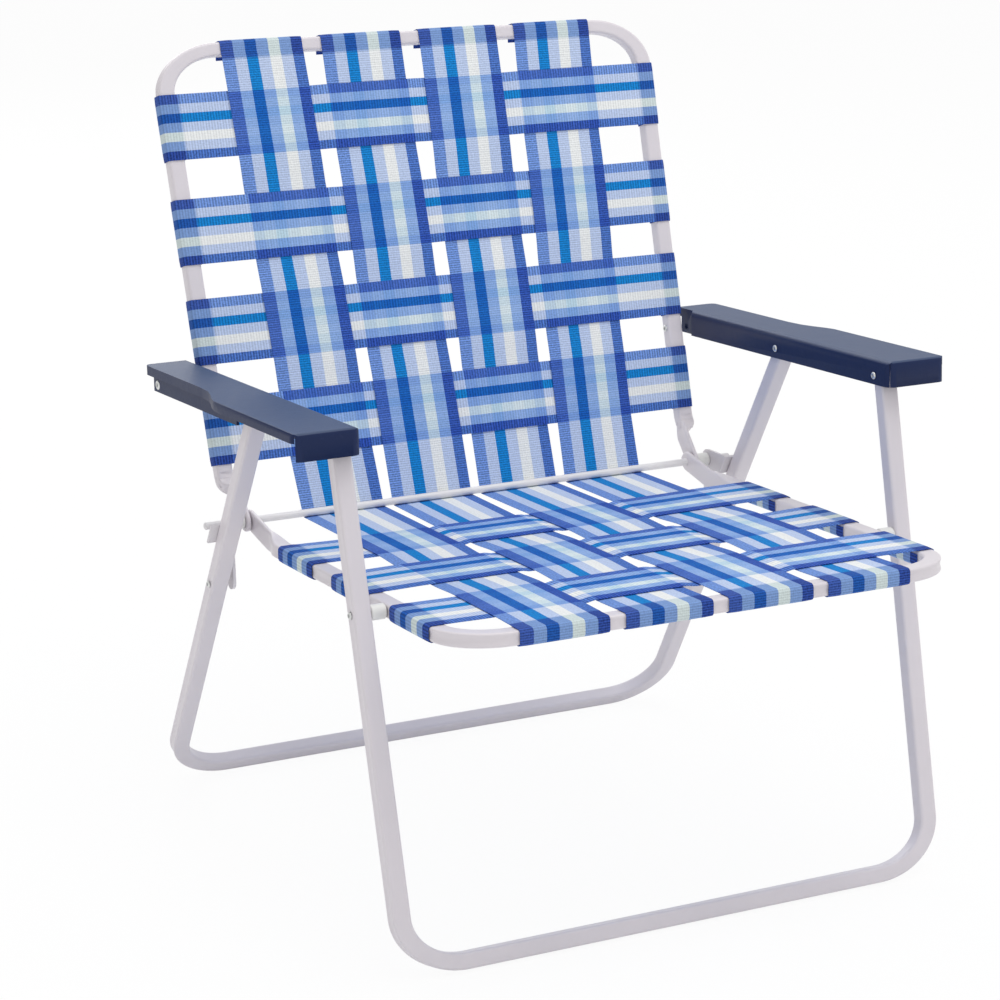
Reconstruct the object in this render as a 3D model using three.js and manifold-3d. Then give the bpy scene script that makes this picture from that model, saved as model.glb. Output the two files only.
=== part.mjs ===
// Folding lawn chair: four bent steel tube frames, two moulded armrests and woven striped webbing.
// Millimetres, +Z up, the chair faces -Y, origin on the floor under the middle of its bounding box.
// The sitter's left side is +X. Everything is drawn in the open, ready to sit in position.

import * as THREE from 'three';
import { mergeVertices } from 'three/addons/utils/BufferGeometryUtils.js';
import Module from 'manifold-3d';

// Pivots, seen from the side (y towards the rear, z up)
const axlePivot = { y: 129.6, z: 266.3 };
const seatPivot = { y: -159.9, z: 275 };
const armFrontPivot = { y: -124.9, z: 402.6 };
const armRearPivot = { y: 27.3, z: 392.1 };
const armBackPivot = { y: 186.6, z: 377.4 };
const linkPivot = { y: 123, z: 217.2 };

// Clearances
const gap = 0.3;
const fitGap = 0.2;
const overrun = 5;
const mergeTolerance = 0.0001;

// Tube, wide in the plane of a frame and deep through it
const legWide = 15.5;
const legDeep = 13;
const seatWide = 15;
const seatDeep = 11.5;
const backWide = 14.5;
const backDeep = 12;
const tubeCorner = 2.8;
const tubeWall = 1.2;
const flatThickness = 4;
const flatHalfHeight = 9.2;
const flatGap = 1;
const slotHalfGap = 0.4;
const cornerSteps = 2;
const bendSteps = 7;

// Seat frame
const seatHalf = 218.3;
const seatEndHalf = seatHalf - flatThickness;
const seatFront = { y: -274.2, z: 282.2 };
const seatDrop = 9.5;
const seatBend = 34;
const seatFlat = 48;
const seatFlare = 66;

// Back frame
const backRail = { y: 274.9, z: 642.1 };
const backHalfTop = seatHalf + seatWide - gap + fitGap;
const backHalfLow = seatHalf + seatWide / 2 + 2 * fitGap;
const backEndHalf = seatEndHalf + flatThickness + flatGap;
const backBend = 34;
const backElbow = { z: 298.1 };
const elbowBend = 10;
const backFlat = 29;
const backFlare = 40;

// Leg frames, standing off the seat by the spacers
const legSpacerLength = 12.4;
const frontLegSplayShare = 0.0173;
const rearLegSplayShare = 0.001;
const frontLegHalfAtSeat = seatHalf + seatWide / 2 + legSpacerLength + 2 * gap + legWide / 2;
const frontLegHalfTop = frontLegHalfAtSeat + frontLegSplayShare * (armFrontPivot.z - seatPivot.z);
const frontLegHalfFloor = frontLegHalfAtSeat - frontLegSplayShare * seatPivot.z;
const rearLegHalfTop = frontLegHalfTop;
const rearLegHalfFloor = rearLegHalfTop - rearLegSplayShare * armRearPivot.z;
const legBend = 52;

// Hinge link
const linkPlate = 2.5;
const linkPlay = 3.9;
const linkInner = rearLegHalfFloor - legWide / 2 - linkPlay - linkPlate;
const linkHead = 9;
const linkFoot = 7;
const webReach = 6.2;
const webOuter = rearLegHalfTop + legWide / 2 + webReach;
const webThickness = 2;
const webLow = 43;
const webHigh = 63;

// Axle, spacers and rivets
const axleRadius = 3.2;
const axleInset = 5.6;
const axleHalf = webOuter - axleInset;
const axleDome = 1.2;
const spacerRadius = 6.2;
const shankRadius = 2.6;
const headRadius = 4.2;
const headHeight = 1.8;
const roundSteps = 12;

// Webbing
const longWidth = 76;
const backCrossWidth = 56;
const seatCrossWidth = 67.6;
const webbingThickness = 1;
const weaveRise = 0.65;
const pitchTop = 94.1;
const pitchRod = 84.8;
const pitchFront = 89.9;
const longCount = 4;
const backRows = [64.1, 153.7, 239.2, 324.7];
const seatRows = [120.4, 226.8, 334.7];
const backBow = 8;
const seatSag = 3;
const rowMargin = 1;
const rampShare = 0.15;
const splitHalfAngle = THREE.MathUtils.degToRad(4);
const splitAngle = THREE.MathUtils.degToRad(-60);
const longAcross = 3;
const crossAcross = 2;

// Armrest, in its own frame: x across the chair, length from the front end, depth down from the top
const armTilt = -0.0744;
const armLead = 22.4;
const armTail = 13.5;
const armCover = 14.1;
const armFront = {
  y: armFrontPivot.y - armLead * Math.cos(armTilt) - armCover * Math.sin(armTilt),
  z: armFrontPivot.z - armLead * Math.sin(armTilt) + armCover * Math.cos(armTilt),
};
const armSpan = Math.hypot(armBackPivot.y - armFrontPivot.y, armFrontPivot.z - armBackPivot.z);
const armLength = armSpan + armLead + armTail;
const armPlay = 0.9;
const ribPlay = 2.4;
const armSkin = 2.2;
const armWidthFront = 56.5;
const armWidthRear = 41.8;
const armInner = frontLegHalfTop - legWide / 2 - armPlay - armSkin;
const armOuterFront = armInner + armWidthFront;
const armOuterRear = armInner + armWidthRear;
const armFrontCorner = 8;
const armRearCorner = 6;
const armStepStartShare = 0.4625;
const armStepEndShare = 0.647;
const armStepStart = armStepStartShare * armLength;
const armStepEnd = armStepEndShare * armLength;
const armRecess = 4.5;
const armRecessLength = 30;
const armRecessStart = armLength - armRecessLength;
const armDepthFront = 21.5;
const armDepthRear = 22.2;
const armEdgeInner = 6;
const armEdgeOuter = 3;
const armEdgeFront = 4;
const armEdgeSteps = 5;
const ribInner = frontLegHalfTop + legWide / 2 + ribPlay;
const ribThickness = 2.2;
const ribDepth = 19.5;
const channelWidth = 10.7;
const skirtDepth = 7.5;
const rimDepth = 8;
const outerWall = ribInner + ribThickness + channelWidth;
const rearOverhang = 5;
const accessRadius = 4.6;
const pinInset = 1.5;
const pinEnd = outerWall - pinInset;

const wasm = await Module();
wasm.setup();

// Materials
const paint = () => new THREE.MeshStandardMaterial({ color: 0xf1f0ec, roughness: 0.35, metalness: 0.1 });
const zinc = () => new THREE.MeshStandardMaterial({ color: 0xc4c8c9, roughness: 0.3, metalness: 0.9 });
const navyPlastic = () => new THREE.MeshStandardMaterial({ color: 0x1f2b4f, roughness: 0.5, metalness: 0 });
const whitePlastic = () => new THREE.MeshStandardMaterial({ color: 0xeeeeea, roughness: 0.5, metalness: 0 });
const webbing = () => new THREE.MeshStandardMaterial({ color: 0x8fa9df, roughness: 0.85, metalness: 0 });

// Solids to and from the boolean kernel
function toSolid(geometry) {
  const bare = new THREE.BufferGeometry();
  bare.setAttribute('position', geometry.getAttribute('position'));
  if (geometry.index) bare.setIndex(geometry.index);
  const merged = mergeVertices(bare, mergeTolerance);
  return new wasm.Manifold(new wasm.Mesh({
    numProp: 3,
    vertProperties: merged.getAttribute('position').array,
    triVerts: Uint32Array.from(merged.index.array),
  }));
}

function toGeometry(solid) {
  const mesh = solid.getMesh();
  const indexed = new THREE.BufferGeometry();
  indexed.setAttribute('position', new THREE.BufferAttribute(Float32Array.from(mesh.vertProperties), 3));
  indexed.setIndex(new THREE.BufferAttribute(Uint32Array.from(mesh.triVerts), 1));
  const geometry = indexed.toNonIndexed();
  geometry.computeVertexNormals();
  return geometry;
}

function triangles(points, faces) {
  const geometry = new THREE.BufferGeometry();
  geometry.setAttribute('position', new THREE.Float32BufferAttribute(points.flatMap((p) => [p.x, p.y, p.z]), 3));
  geometry.setIndex(faces);
  return geometry;
}

// The same solid on the other side of the chair
function mirrored(geometry) {
  const source = geometry.index ? geometry.toNonIndexed() : geometry.clone();
  const position = source.getAttribute('position');
  for (let i = 0; i < position.count; i += 3) {
    const [b, c] = [i + 1, i + 2].map((k) => new THREE.Vector3().fromBufferAttribute(position, k));
    position.setX(i, -position.getX(i));
    position.setXYZ(i + 1, -c.x, c.y, c.z);
    position.setXYZ(i + 2, -b.x, b.y, b.z);
  }
  source.computeVertexNormals();
  return source;
}

// A round bar along X through a pivot, from one x to another
function barAlongX(pivot, from, to, radius) {
  const bar = new THREE.CylinderGeometry(radius, radius, to - from, roundSteps);
  bar.rotateZ(-Math.PI / 2);
  bar.translate((from + to) / 2, pivot.y, pivot.z);
  return bar;
}

// A plate outline drawn in side view (y, z), given its thickness along X
function plateAlongX(shape, from, to, steps = roundSteps) {
  const plate = new THREE.ExtrudeGeometry(shape, { depth: to - from, bevelEnabled: false, curveSegments: steps });
  plate.applyMatrix4(new THREE.Matrix4().makeBasis(
    new THREE.Vector3(0, 1, 0),
    new THREE.Vector3(0, 0, 1),
    new THREE.Vector3(1, 0, 0),
  ));
  plate.translate(from, 0, 0);
  return plate;
}

function box(x, y, z) {
  const block = new THREE.BoxGeometry(x[1] - x[0], y[1] - y[0], z[1] - z[0]);
  block.translate((x[0] + x[1]) / 2, (y[0] + y[1]) / 2, (z[0] + z[1]) / 2);
  return block;
}

// One closed loop of a rounded rectangle, as pairs
function roundedLoop(halfWide, halfHigh, radius) {
  const round = Math.min(radius, halfWide, halfHigh);
  const signs = [[1, 1], [-1, 1], [-1, -1], [1, -1]];
  return signs.flatMap(([sx, sy], corner) => Array.from({ length: cornerSteps + 1 }, (_, step) => {
    const angle = (corner + step / cornerSteps) * Math.PI / 2;
    return [sx * (halfWide - round) + round * Math.cos(angle), sy * (halfHigh - round) + round * Math.sin(angle)];
  }));
}

// A hollow tube through stations {at, wide, high}, open at both ends
function sweptTube(stations, firstNormal) {
  const centres = stations.map((s) => s.at);
  const tangents = centres.map((c, i) => {
    const before = centres[Math.max(i - 1, 0)];
    const after = centres[Math.min(i + 1, centres.length - 1)];
    const incoming = c.clone().sub(before).normalize();
    const outgoing = after.clone().sub(c).normalize();
    return incoming.add(outgoing).normalize();
  });
  const points = [];
  const normal = firstNormal.clone();
  const turn = new THREE.Quaternion();
  stations.forEach((station, i) => {
    if (i > 0) normal.applyQuaternion(turn.setFromUnitVectors(tangents[i - 1], tangents[i]));
    const across = tangents[i].clone().cross(normal);
    const innerWide = Math.max(station.wide - tubeWall, slotHalfGap);
    const innerHigh = Math.max(station.high - tubeWall, slotHalfGap);
    const loops = [
      roundedLoop(station.wide, station.high, tubeCorner),
      roundedLoop(innerWide, innerHigh, tubeCorner - tubeWall),
    ];
    loops.forEach((loop) => loop.forEach(([a, b]) => {
      points.push(station.at.clone().addScaledVector(across, a).addScaledVector(normal, b));
    }));
  });
  const count = roundedLoop(1, 1, 1).length;
  const index = (i, loop, j) => (i * 2 + loop) * count + (j % count);
  const faces = [];
  const quad = (a, b, c, d) => faces.push(a, b, c, a, c, d);
  for (let j = 0; j < count; j += 1) {
    for (let i = 0; i + 1 < stations.length; i += 1) {
      quad(index(i, 0, j), index(i + 1, 0, j), index(i + 1, 0, j + 1), index(i, 0, j + 1));
      quad(index(i, 1, j), index(i, 1, j + 1), index(i + 1, 1, j + 1), index(i + 1, 1, j));
    }
    const end = stations.length - 1;
    quad(index(0, 0, j), index(0, 0, j + 1), index(0, 1, j + 1), index(0, 1, j));
    quad(index(end, 0, j), index(end, 1, j), index(end, 1, j + 1), index(end, 0, j + 1));
  }
  return triangles(points, faces);
}

// Straight runs joined by round bends; bends is the radius at each inner corner
function bentPath(corners, bends) {
  const path = [corners[0].clone()];
  for (let i = 1; i + 1 < corners.length; i += 1) {
    const radius = bends[i - 1];
    const before = corners[i - 1].clone().sub(corners[i]).normalize();
    const after = corners[i + 1].clone().sub(corners[i]).normalize();
    const half = before.angleTo(after) / 2;
    if (radius === 0) {
      path.push(corners[i].clone());
    } else {
      const centre = corners[i].clone().addScaledVector(before.clone().add(after).normalize(), radius / Math.sin(half));
      const start = corners[i].clone().addScaledVector(before, radius / Math.tan(half)).sub(centre);
      const stop = corners[i].clone().addScaledVector(after, radius / Math.tan(half)).sub(centre);
      const sweep = Math.PI - 2 * half;
      const axis = start.clone().cross(stop).normalize();
      const steps = Math.max(2, Math.round(bendSteps * sweep / (Math.PI / 2)));
      for (let k = 0; k <= steps; k += 1) {
        path.push(start.clone().applyAxisAngle(axis, sweep * k / steps).add(centre));
      }
    }
  }
  path.push(corners.at(-1).clone());
  return path;
}

// Distances past a pivot at which a rounded tube end is cut, and its half height there
const tipShares = [0, 0.5, 0.8, 0.94];
const tipHigh = (radius, share) => Math.max(radius * Math.sqrt(1 - share * share), tubeWall + slotHalfGap);

// Both ends of a path get the same rounded tip about their pivots
function withTips(path, wide, high) {
  const full = path.map((at) => ({ at, wide: wide(at), high: high(at) }));
  const tip = (end, inward) => {
    const outward = end.at.clone().sub(inward.at).normalize();
    return tipShares.slice(1).map((share) => ({
      at: end.at.clone().addScaledVector(outward, share * end.high),
      wide: end.wide,
      high: tipHigh(end.high, share),
    }));
  };
  return [...tip(full[0], full[1]).reverse(), ...full, ...tip(full.at(-1), full.at(-2))];
}

// A leg frame: two sides down from the armrest pivots to a rail that rests on the floor
function legFrame(pivot, through, halfTop, halfFloor) {
  const lean = Math.atan2(pivot.y - through.y, pivot.z - through.z);
  const [flatWide, flatDeep] = [legWide / 2 - tubeCorner, legDeep / 2 - tubeCorner];
  const railHeight = flatWide * Math.cos(lean) + flatDeep * Math.abs(Math.sin(lean)) + tubeCorner;
  const railY = pivot.y - (pivot.z - railHeight) * Math.tan(lean);
  const corners = [
    new THREE.Vector3(-halfTop, pivot.y, pivot.z),
    new THREE.Vector3(-halfFloor, railY, railHeight),
    new THREE.Vector3(halfFloor, railY, railHeight),
    new THREE.Vector3(halfTop, pivot.y, pivot.z),
  ];
  const stations = withTips(bentPath(corners, [legBend, legBend]), () => legWide / 2, () => legDeep / 2);
  return toSolid(sweptTube(stations, new THREE.Vector3(0, Math.cos(lean), -Math.sin(lean))));
}

function drilled(solid, pivot, from, to, radius) {
  return solid.subtract(toSolid(barAlongX(pivot, from, to, radius)));
}

function drilledBothSides(solid, pivot, from, to, radius) {
  return drilled(drilled(solid, pivot, from, to, radius), pivot, -to, -from, radius);
}

// Half width of the front legs at a height
function frontLegHalf(z) {
  return THREE.MathUtils.mapLinear(z, 0, armFrontPivot.z, frontLegHalfFloor, frontLegHalfTop);
}

function rearLegHalf(z) {
  return THREE.MathUtils.mapLinear(z, 0, armRearPivot.z, rearLegHalfFloor, rearLegHalfTop);
}

function frontLeg() {
  const inside = armInner - overrun * 2;
  const outside = frontLegHalfTop + legWide / 2 + overrun;
  let solid = legFrame(armFrontPivot, seatPivot, frontLegHalfTop, frontLegHalfFloor);
  solid = drilledBothSides(solid, armFrontPivot, inside, outside, shankRadius + gap);
  solid = drilledBothSides(solid, seatPivot, inside, outside, shankRadius + gap);
  return toGeometry(solid);
}

function rearLeg() {
  const inside = armInner - overrun * 2;
  const outside = rearLegHalfTop + legWide / 2 + overrun;
  let solid = legFrame(armRearPivot, linkPivot, rearLegHalfTop, rearLegHalfFloor);
  solid = drilledBothSides(solid, armRearPivot, inside, outside, shankRadius + gap);
  solid = drilledBothSides(solid, linkPivot, inside, outside, shankRadius + gap);
  return toGeometry(solid);
}

// Seat frame: a U open to the rear, its ends pressed flat and turned up to the axle
const seatOrigin = { y: axlePivot.y, z: axlePivot.z - seatDrop };
const seatSlope = Math.atan2(seatFront.z - seatOrigin.z, seatOrigin.y - seatFront.y);

function seatPoint(x, along, rise) {
  return new THREE.Vector3(
    x,
    seatOrigin.y - along * Math.cos(seatSlope) + rise * Math.sin(seatSlope),
    seatOrigin.z + along * Math.sin(seatSlope) + rise * Math.cos(seatSlope),
  );
}

const seatReach = Math.hypot(seatOrigin.y - seatFront.y, seatFront.z - seatOrigin.z);

function seatFrame() {
  const side = (sign) => [
    new THREE.Vector3(sign * seatEndHalf, axlePivot.y, axlePivot.z),
    seatPoint(sign * seatEndHalf, seatFlat, 0),
    seatPoint(sign * seatHalf, seatFlare, 0),
    seatPoint(sign * seatHalf, seatReach, 0),
  ];
  const corners = [...side(-1), ...side(1).reverse()];
  const path = bentPath(corners, [0, 0, seatBend, seatBend, 0, 0]);
  const flattened = (at) => at.y > axlePivot.y - (seatFlat + seatFlare) / 2;
  const wide = (at) => (flattened(at) ? flatThickness / 2 : seatWide / 2);
  const high = (at) => (flattened(at) ? flatHalfHeight : seatDeep / 2);
  const forward = corners[1].clone().sub(corners[0]).normalize();
  let solid = toSolid(sweptTube(withTips(path, wide, high), new THREE.Vector3(0, forward.z, -forward.y)));
  solid = drilledBothSides(solid, axlePivot, seatEndHalf - overrun, seatEndHalf + overrun, axleRadius + gap);
  const reach = seatWide / 2 + overrun;
  return toGeometry(drilledBothSides(solid, seatPivot, seatHalf - reach, seatHalf + reach, shankRadius + gap));
}

// Back frame: a U open downwards, its ends bent forward and pressed flat round the axle
const backLean = Math.atan2(backRail.y - armBackPivot.y, backRail.z - armBackPivot.z);

function backPoint(x, down, front) {
  return new THREE.Vector3(
    x,
    backRail.y - down * Math.sin(backLean) - front * Math.cos(backLean),
    backRail.z - down * Math.cos(backLean) + front * Math.sin(backLean),
  );
}

const elbowDown = (backRail.z - backElbow.z) / Math.cos(backLean);
const backHalf = (down) => THREE.MathUtils.mapLinear(down, 0, elbowDown, backHalfTop, backHalfLow);

function backFrame() {
  const elbow = backPoint(0, elbowDown, 0);
  const axle = new THREE.Vector3(0, axlePivot.y, axlePivot.z);
  const up = elbow.clone().sub(axle).normalize();
  const onSide = (sign, half, distance) => axle.clone().addScaledVector(up, distance).setX(sign * half);
  const side = (sign) => [
    onSide(sign, backEndHalf, 0),
    onSide(sign, backEndHalf, backFlat),
    onSide(sign, backHalfLow, backFlare),
    elbow.clone().setX(sign * backHalfLow),
    backPoint(sign * backHalfTop, 0, 0),
  ];
  const corners = [...side(-1), ...side(1).reverse()];
  const path = bentPath(corners, [0, 0, elbowBend, backBend, backBend, elbowBend, 0, 0]);
  const flattened = (at) => Math.hypot(at.y - axlePivot.y, at.z - axlePivot.z) < (backFlat + backFlare) / 2;
  const wide = (at) => (flattened(at) ? flatThickness / 2 : backWide / 2);
  const high = (at) => (flattened(at) ? flatHalfHeight : backDeep / 2);
  const normal = new THREE.Vector3(0, up.z, -up.y);
  let solid = toSolid(sweptTube(withTips(path, wide, high), normal));
  solid = drilledBothSides(solid, axlePivot, backEndHalf - overrun, backEndHalf + overrun, axleRadius + gap);
  const half = backHalf((backRail.z - armBackPivot.z) / Math.cos(backLean));
  const reach = backWide / 2 + overrun;
  return toGeometry(drilledBothSides(solid, armBackPivot, half - reach, half + reach, shankRadius + gap));
}

// Turned parts, drawn along X from profile pairs [x, radius]
function turned(pivot, profile) {
  const points = profile.map(([x, radius]) => new THREE.Vector2(radius, x));
  const body = new THREE.LatheGeometry(points, roundSteps);
  body.rotateZ(-Math.PI / 2);
  body.translate(0, pivot.y, pivot.z);
  return toGeometry(toSolid(body));
}

function crossRod() {
  return turned(axlePivot, [
    [-axleHalf, 0],
    [-axleHalf, axleRadius - axleDome],
    [-axleHalf + axleDome, axleRadius],
    [axleHalf - axleDome, axleRadius],
    [axleHalf, axleRadius - axleDome],
    [axleHalf, 0],
  ]);
}

// A domed rivet whose heads sit outside the faces at from and to; a plain end has no head
function rivet(pivot, from, to, headAtFrom = true, headAtTo = true) {
  const shoulder = headRadius * 0.8;
  const start = headAtFrom
    ? [[from - headHeight, 0], [from - headHeight, shoulder / 2], [from - headHeight / 2, shoulder], [from, headRadius]]
    : [[from, 0]];
  const stop = headAtTo
    ? [[to, headRadius], [to + headHeight / 2, shoulder], [to + headHeight, shoulder / 2], [to + headHeight, 0]]
    : [[to, 0]];
  return turned(pivot, [...start, [from, shankRadius], [to, shankRadius], ...stop]);
}

function spacer(pivot, from, to, bore) {
  const sleeve = toSolid(barAlongX(pivot, from, to, spacerRadius));
  return toGeometry(drilled(sleeve, pivot, from - overrun, to + overrun, bore + gap));
}

// Hinge link: an inner cheek from the axle down to the rear leg, with a web turned out behind the leg
function hingeLink() {
  const lean = Math.atan2(linkPivot.y - armRearPivot.y, armRearPivot.z - linkPivot.z);
  const place = (up, behind) => new THREE.Vector2(
    linkPivot.y - up * Math.sin(lean) + behind * Math.cos(lean),
    linkPivot.z + up * Math.cos(lean) + behind * Math.sin(lean),
  );
  const [dy, dz] = [axlePivot.y - linkPivot.y, axlePivot.z - linkPivot.z];
  const span = Math.atan2(dz, dy);
  const tangent = Math.acos((linkFoot - linkHead) / Math.hypot(dy, dz));
  const cheek = new THREE.Shape();
  cheek.absarc(linkPivot.y, linkPivot.z, linkFoot, span + tangent, span - tangent, false);
  cheek.absarc(axlePivot.y, axlePivot.z, linkHead, span - tangent, span + tangent, false);
  const webFront = legDeep / 2 + gap;
  const webBack = webFront + webThickness;
  let solid = toSolid(plateAlongX(cheek, linkInner, linkInner + linkPlate));
  const root = new THREE.Shape([
    place(webLow, webFront),
    place(webLow, webBack),
    new THREE.Vector2(axlePivot.y, axlePivot.z - linkHead),
    new THREE.Vector2(axlePivot.y, axlePivot.z + linkHead),
    place(webHigh, webBack),
    place(webHigh, webFront),
  ]);
  solid = solid.add(toSolid(plateAlongX(root, linkInner, linkInner + linkPlate)));
  const web = new THREE.Shape(
    [place(webLow, webFront), place(webLow, webBack), place(webHigh, webBack), place(webHigh, webFront)],
  );
  solid = solid.add(toSolid(plateAlongX(web, linkInner, webOuter)));
  const [from, to] = [linkInner - overrun, linkInner + linkPlate + overrun];
  solid = drilled(solid, axlePivot, from, to, axleRadius + gap);
  return toGeometry(drilled(solid, linkPivot, from, to, shankRadius + gap));
}

// Armrest plan seen from above: x across the chair, second coordinate along its length
function armPlan() {
  const plan = new THREE.Shape();
  const corner = armFrontCorner;
  plan.moveTo(armInner, corner);
  plan.absarc(armInner + corner, corner, corner, Math.PI, Math.PI * 1.5, false);
  plan.absarc(armOuterFront - corner, corner, corner, -Math.PI / 2, 0, false);
  plan.lineTo(armOuterFront, armStepStart);
  const middle = (armStepStart + armStepEnd) / 2;
  plan.bezierCurveTo(armOuterFront, middle, armOuterRear, middle, armOuterRear, armStepEnd);
  plan.absarc(armOuterRear - armRearCorner, armLength - armRearCorner, armRearCorner, 0, Math.PI / 2, false);
  plan.lineTo(armInner + armRecess, armLength);
  plan.lineTo(armInner + armRecess, armRecessStart + armRecess);
  plan.lineTo(armInner, armRecessStart);
  plan.closePath();
  return plan;
}

// Armrest: a moulded shell with a straight inner wall, a rib beside the legs and a short outer skirt
function armrest() {
  const along = (geometry) => geometry.rotateX(armTilt).translate(0, armFront.y, armFront.z);
  const deep = armDepthFront + overrun;
  const plan = new THREE.ExtrudeGeometry(armPlan(), { depth: deep, bevelEnabled: false, curveSegments: armEdgeSteps });
  plan.translate(0, 0, -deep);

  const section = new THREE.Shape();
  section.moveTo(armInner, -deep);
  section.lineTo(armOuterFront, -deep);
  section.absarc(armOuterFront - armEdgeOuter, -armEdgeOuter, armEdgeOuter, 0, Math.PI / 2, false);
  section.absarc(armInner + armEdgeInner, -armEdgeInner, armEdgeInner, Math.PI / 2, Math.PI, false);
  section.closePath();
  const loaf = new THREE.ExtrudeGeometry(
    section,
    { depth: armLength + 2 * overrun, bevelEnabled: false, curveSegments: armEdgeSteps },
  );
  loaf.rotateX(Math.PI / 2).translate(0, armLength + overrun, 0);

  const side = new THREE.Shape();
  side.moveTo(0, -armDepthFront);
  side.lineTo(armLength, -armDepthRear);
  side.lineTo(armLength, 0);
  side.absarc(armEdgeFront, -armEdgeFront, armEdgeFront, Math.PI / 2, Math.PI, false);
  side.closePath();
  const profile = plateAlongX(side, armInner - overrun, armOuterFront + overrun, armEdgeSteps);

  let solid = toSolid(plan).intersect(toSolid(loaf)).intersect(toSolid(profile));
  const below = [-deep, -armSkin];
  const cut = (x, y, z) => {
    solid = solid.subtract(toSolid(box(x, y, z)));
  };
  const wallStart = armInner + armSkin;
  const ribOuter = ribInner + ribThickness;
  const recessed = wallStart + armRecess;
  const rearWall = armLength - rearOverhang;
  const shellEnd = rearWall - armSkin;
  const wallOutside = outerWall + armSkin;
  cut([wallStart, ribInner], [armSkin, armStepEnd], below);
  cut([ribOuter, armOuterFront - armSkin], [armSkin, armStepStart], below);
  cut([ribOuter, outerWall], [armStepStart - overrun, armStepEnd], below);
  cut([wallStart, outerWall], [armStepEnd - overrun, armRecessStart - armSkin], below);
  cut([recessed, outerWall], [armRecessStart - overrun, shellEnd], below);
  cut([ribInner - overrun, ribOuter + overrun / 2], [armSkin, armStepEnd], [-deep, -ribDepth]);
  cut([ribOuter, armOuterFront + overrun], [armSkin, armStepStart], [-deep, -skirtDepth]);
  cut([wallOutside, armOuterFront + overrun], [armStepStart - overrun, armLength + overrun], [-deep, -rimDepth]);
  cut([armInner - overrun, armOuterFront + overrun], [rearWall, armLength + overrun], [-deep, -rimDepth]);
  solid = toSolid(along(toGeometry(solid)));
  const bore = shankRadius + gap;
  solid = drilled(solid, armFrontPivot, armInner - overrun, ribOuter + overrun, bore);
  solid = drilled(solid, armRearPivot, armInner - overrun, ribOuter + overrun, bore);
  solid = drilled(solid, armBackPivot, armInner - overrun, recessed + overrun, bore);
  solid = drilled(solid, armBackPivot, outerWall - overrun, wallOutside + overrun, accessRadius);
  return toGeometry(solid);
}

// A closed strip of webbing about a grid of middle points, grid[along][across]
function strip(grid) {
  const rows = grid.length;
  const across = grid[0].length;
  const at = (i, k) => grid[THREE.MathUtils.clamp(i, 0, rows - 1)][THREE.MathUtils.clamp(k, 0, across - 1)];
  const points = [];
  for (let i = 0; i < rows; i += 1) {
    for (let k = 0; k < across; k += 1) {
      const incoming = at(i, k).clone().sub(at(i - 1, k)).normalize();
      const outgoing = at(i + 1, k).clone().sub(at(i, k)).normalize();
      const lengthwise = incoming.add(outgoing).normalize();
      const sideways = at(i, k + 1).clone().sub(at(i, k - 1));
      const offset = lengthwise.cross(sideways).normalize().multiplyScalar(webbingThickness / 2);
      points.push(at(i, k).clone().add(offset), at(i, k).clone().sub(offset));
    }
  }
  const top = (i, k) => (i * across + k) * 2;
  const low = (i, k) => top(i, k) + 1;
  const faces = [];
  const quad = (a, b, c, d) => faces.push(a, b, c, a, c, d);
  for (let i = 0; i + 1 < rows; i += 1) {
    for (let k = 0; k + 1 < across; k += 1) {
      quad(top(i, k), top(i + 1, k), top(i + 1, k + 1), top(i, k + 1));
      quad(low(i, k), low(i, k + 1), low(i + 1, k + 1), low(i + 1, k));
    }
    quad(top(i, 0), low(i, 0), low(i + 1, 0), top(i + 1, 0));
    quad(top(i, across - 1), top(i + 1, across - 1), low(i + 1, across - 1), low(i, across - 1));
  }
  for (let k = 0; k + 1 < across; k += 1) {
    quad(top(0, k), top(0, k + 1), low(0, k + 1), low(0, k));
    quad(top(rows - 1, k), low(rows - 1, k), low(rows - 1, k + 1), top(rows - 1, k + 1));
  }
  return toGeometry(toSolid(triangles(points, faces)));
}

// Middle of a strap that lies on the face of a tube, off the tube's own middle
const layerOver = (tubeDeep) => tubeDeep / 2 + fitGap + webbingThickness / 2;

// The way round a tube, from its face towards the sitter, out and back to the inner face; pairs [out, front]
function wrapRoundTube(tubeWide, tubeDeep) {
  const [flatWide, flatDeep] = [tubeWide / 2 - tubeCorner, tubeDeep / 2 - tubeCorner];
  const radius = tubeCorner + fitGap + webbingThickness / 2;
  const arc = (x, y, from) => Array.from({ length: cornerSteps + 1 }, (_, step) => {
    const angle = from - (step / cornerSteps) * Math.PI / 2;
    return [x + radius * Math.cos(angle), y + radius * Math.sin(angle)];
  });
  return [
    [-tubeWide / 2, layerOver(tubeDeep)],
    ...arc(flatWide, flatDeep, Math.PI / 2),
    ...arc(flatWide, -flatDeep, 0),
    ...arc(-flatWide, -flatDeep, -Math.PI / 2),
    [-flatWide - radius, 0],
  ];
}

// A long strap passes over a cross strap where row and column add up to an even number
const longIsOver = (row, column) => (row + column) % 2 === 0;

const columnCentre = (column, pitch) => (column - (longCount - 1) / 2) * pitch;

// How far the woven middle stands off the plane of the tubes
const shareAcross = (x, half) => 1 - (x / half) * (x / half);
const axleDown = (backRail.y - axlePivot.y) * Math.sin(backLean) + (backRail.z - axlePivot.z) * Math.cos(backLean);
const backStand = (x, down) => backBow * (down / axleDown) ** 2 * shareAcross(x, backHalfTop);
const seatStand = (x, along) => -seatSag * (1 - along / seatReach) ** 2 * shareAcross(x, seatHalf);
const backPitch = (down) => THREE.MathUtils.mapLinear(down, 0, axleDown, pitchTop, pitchRod);
const seatPitch = (along) => THREE.MathUtils.mapLinear(along, 0, seatReach, pitchRod, pitchFront);

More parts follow.
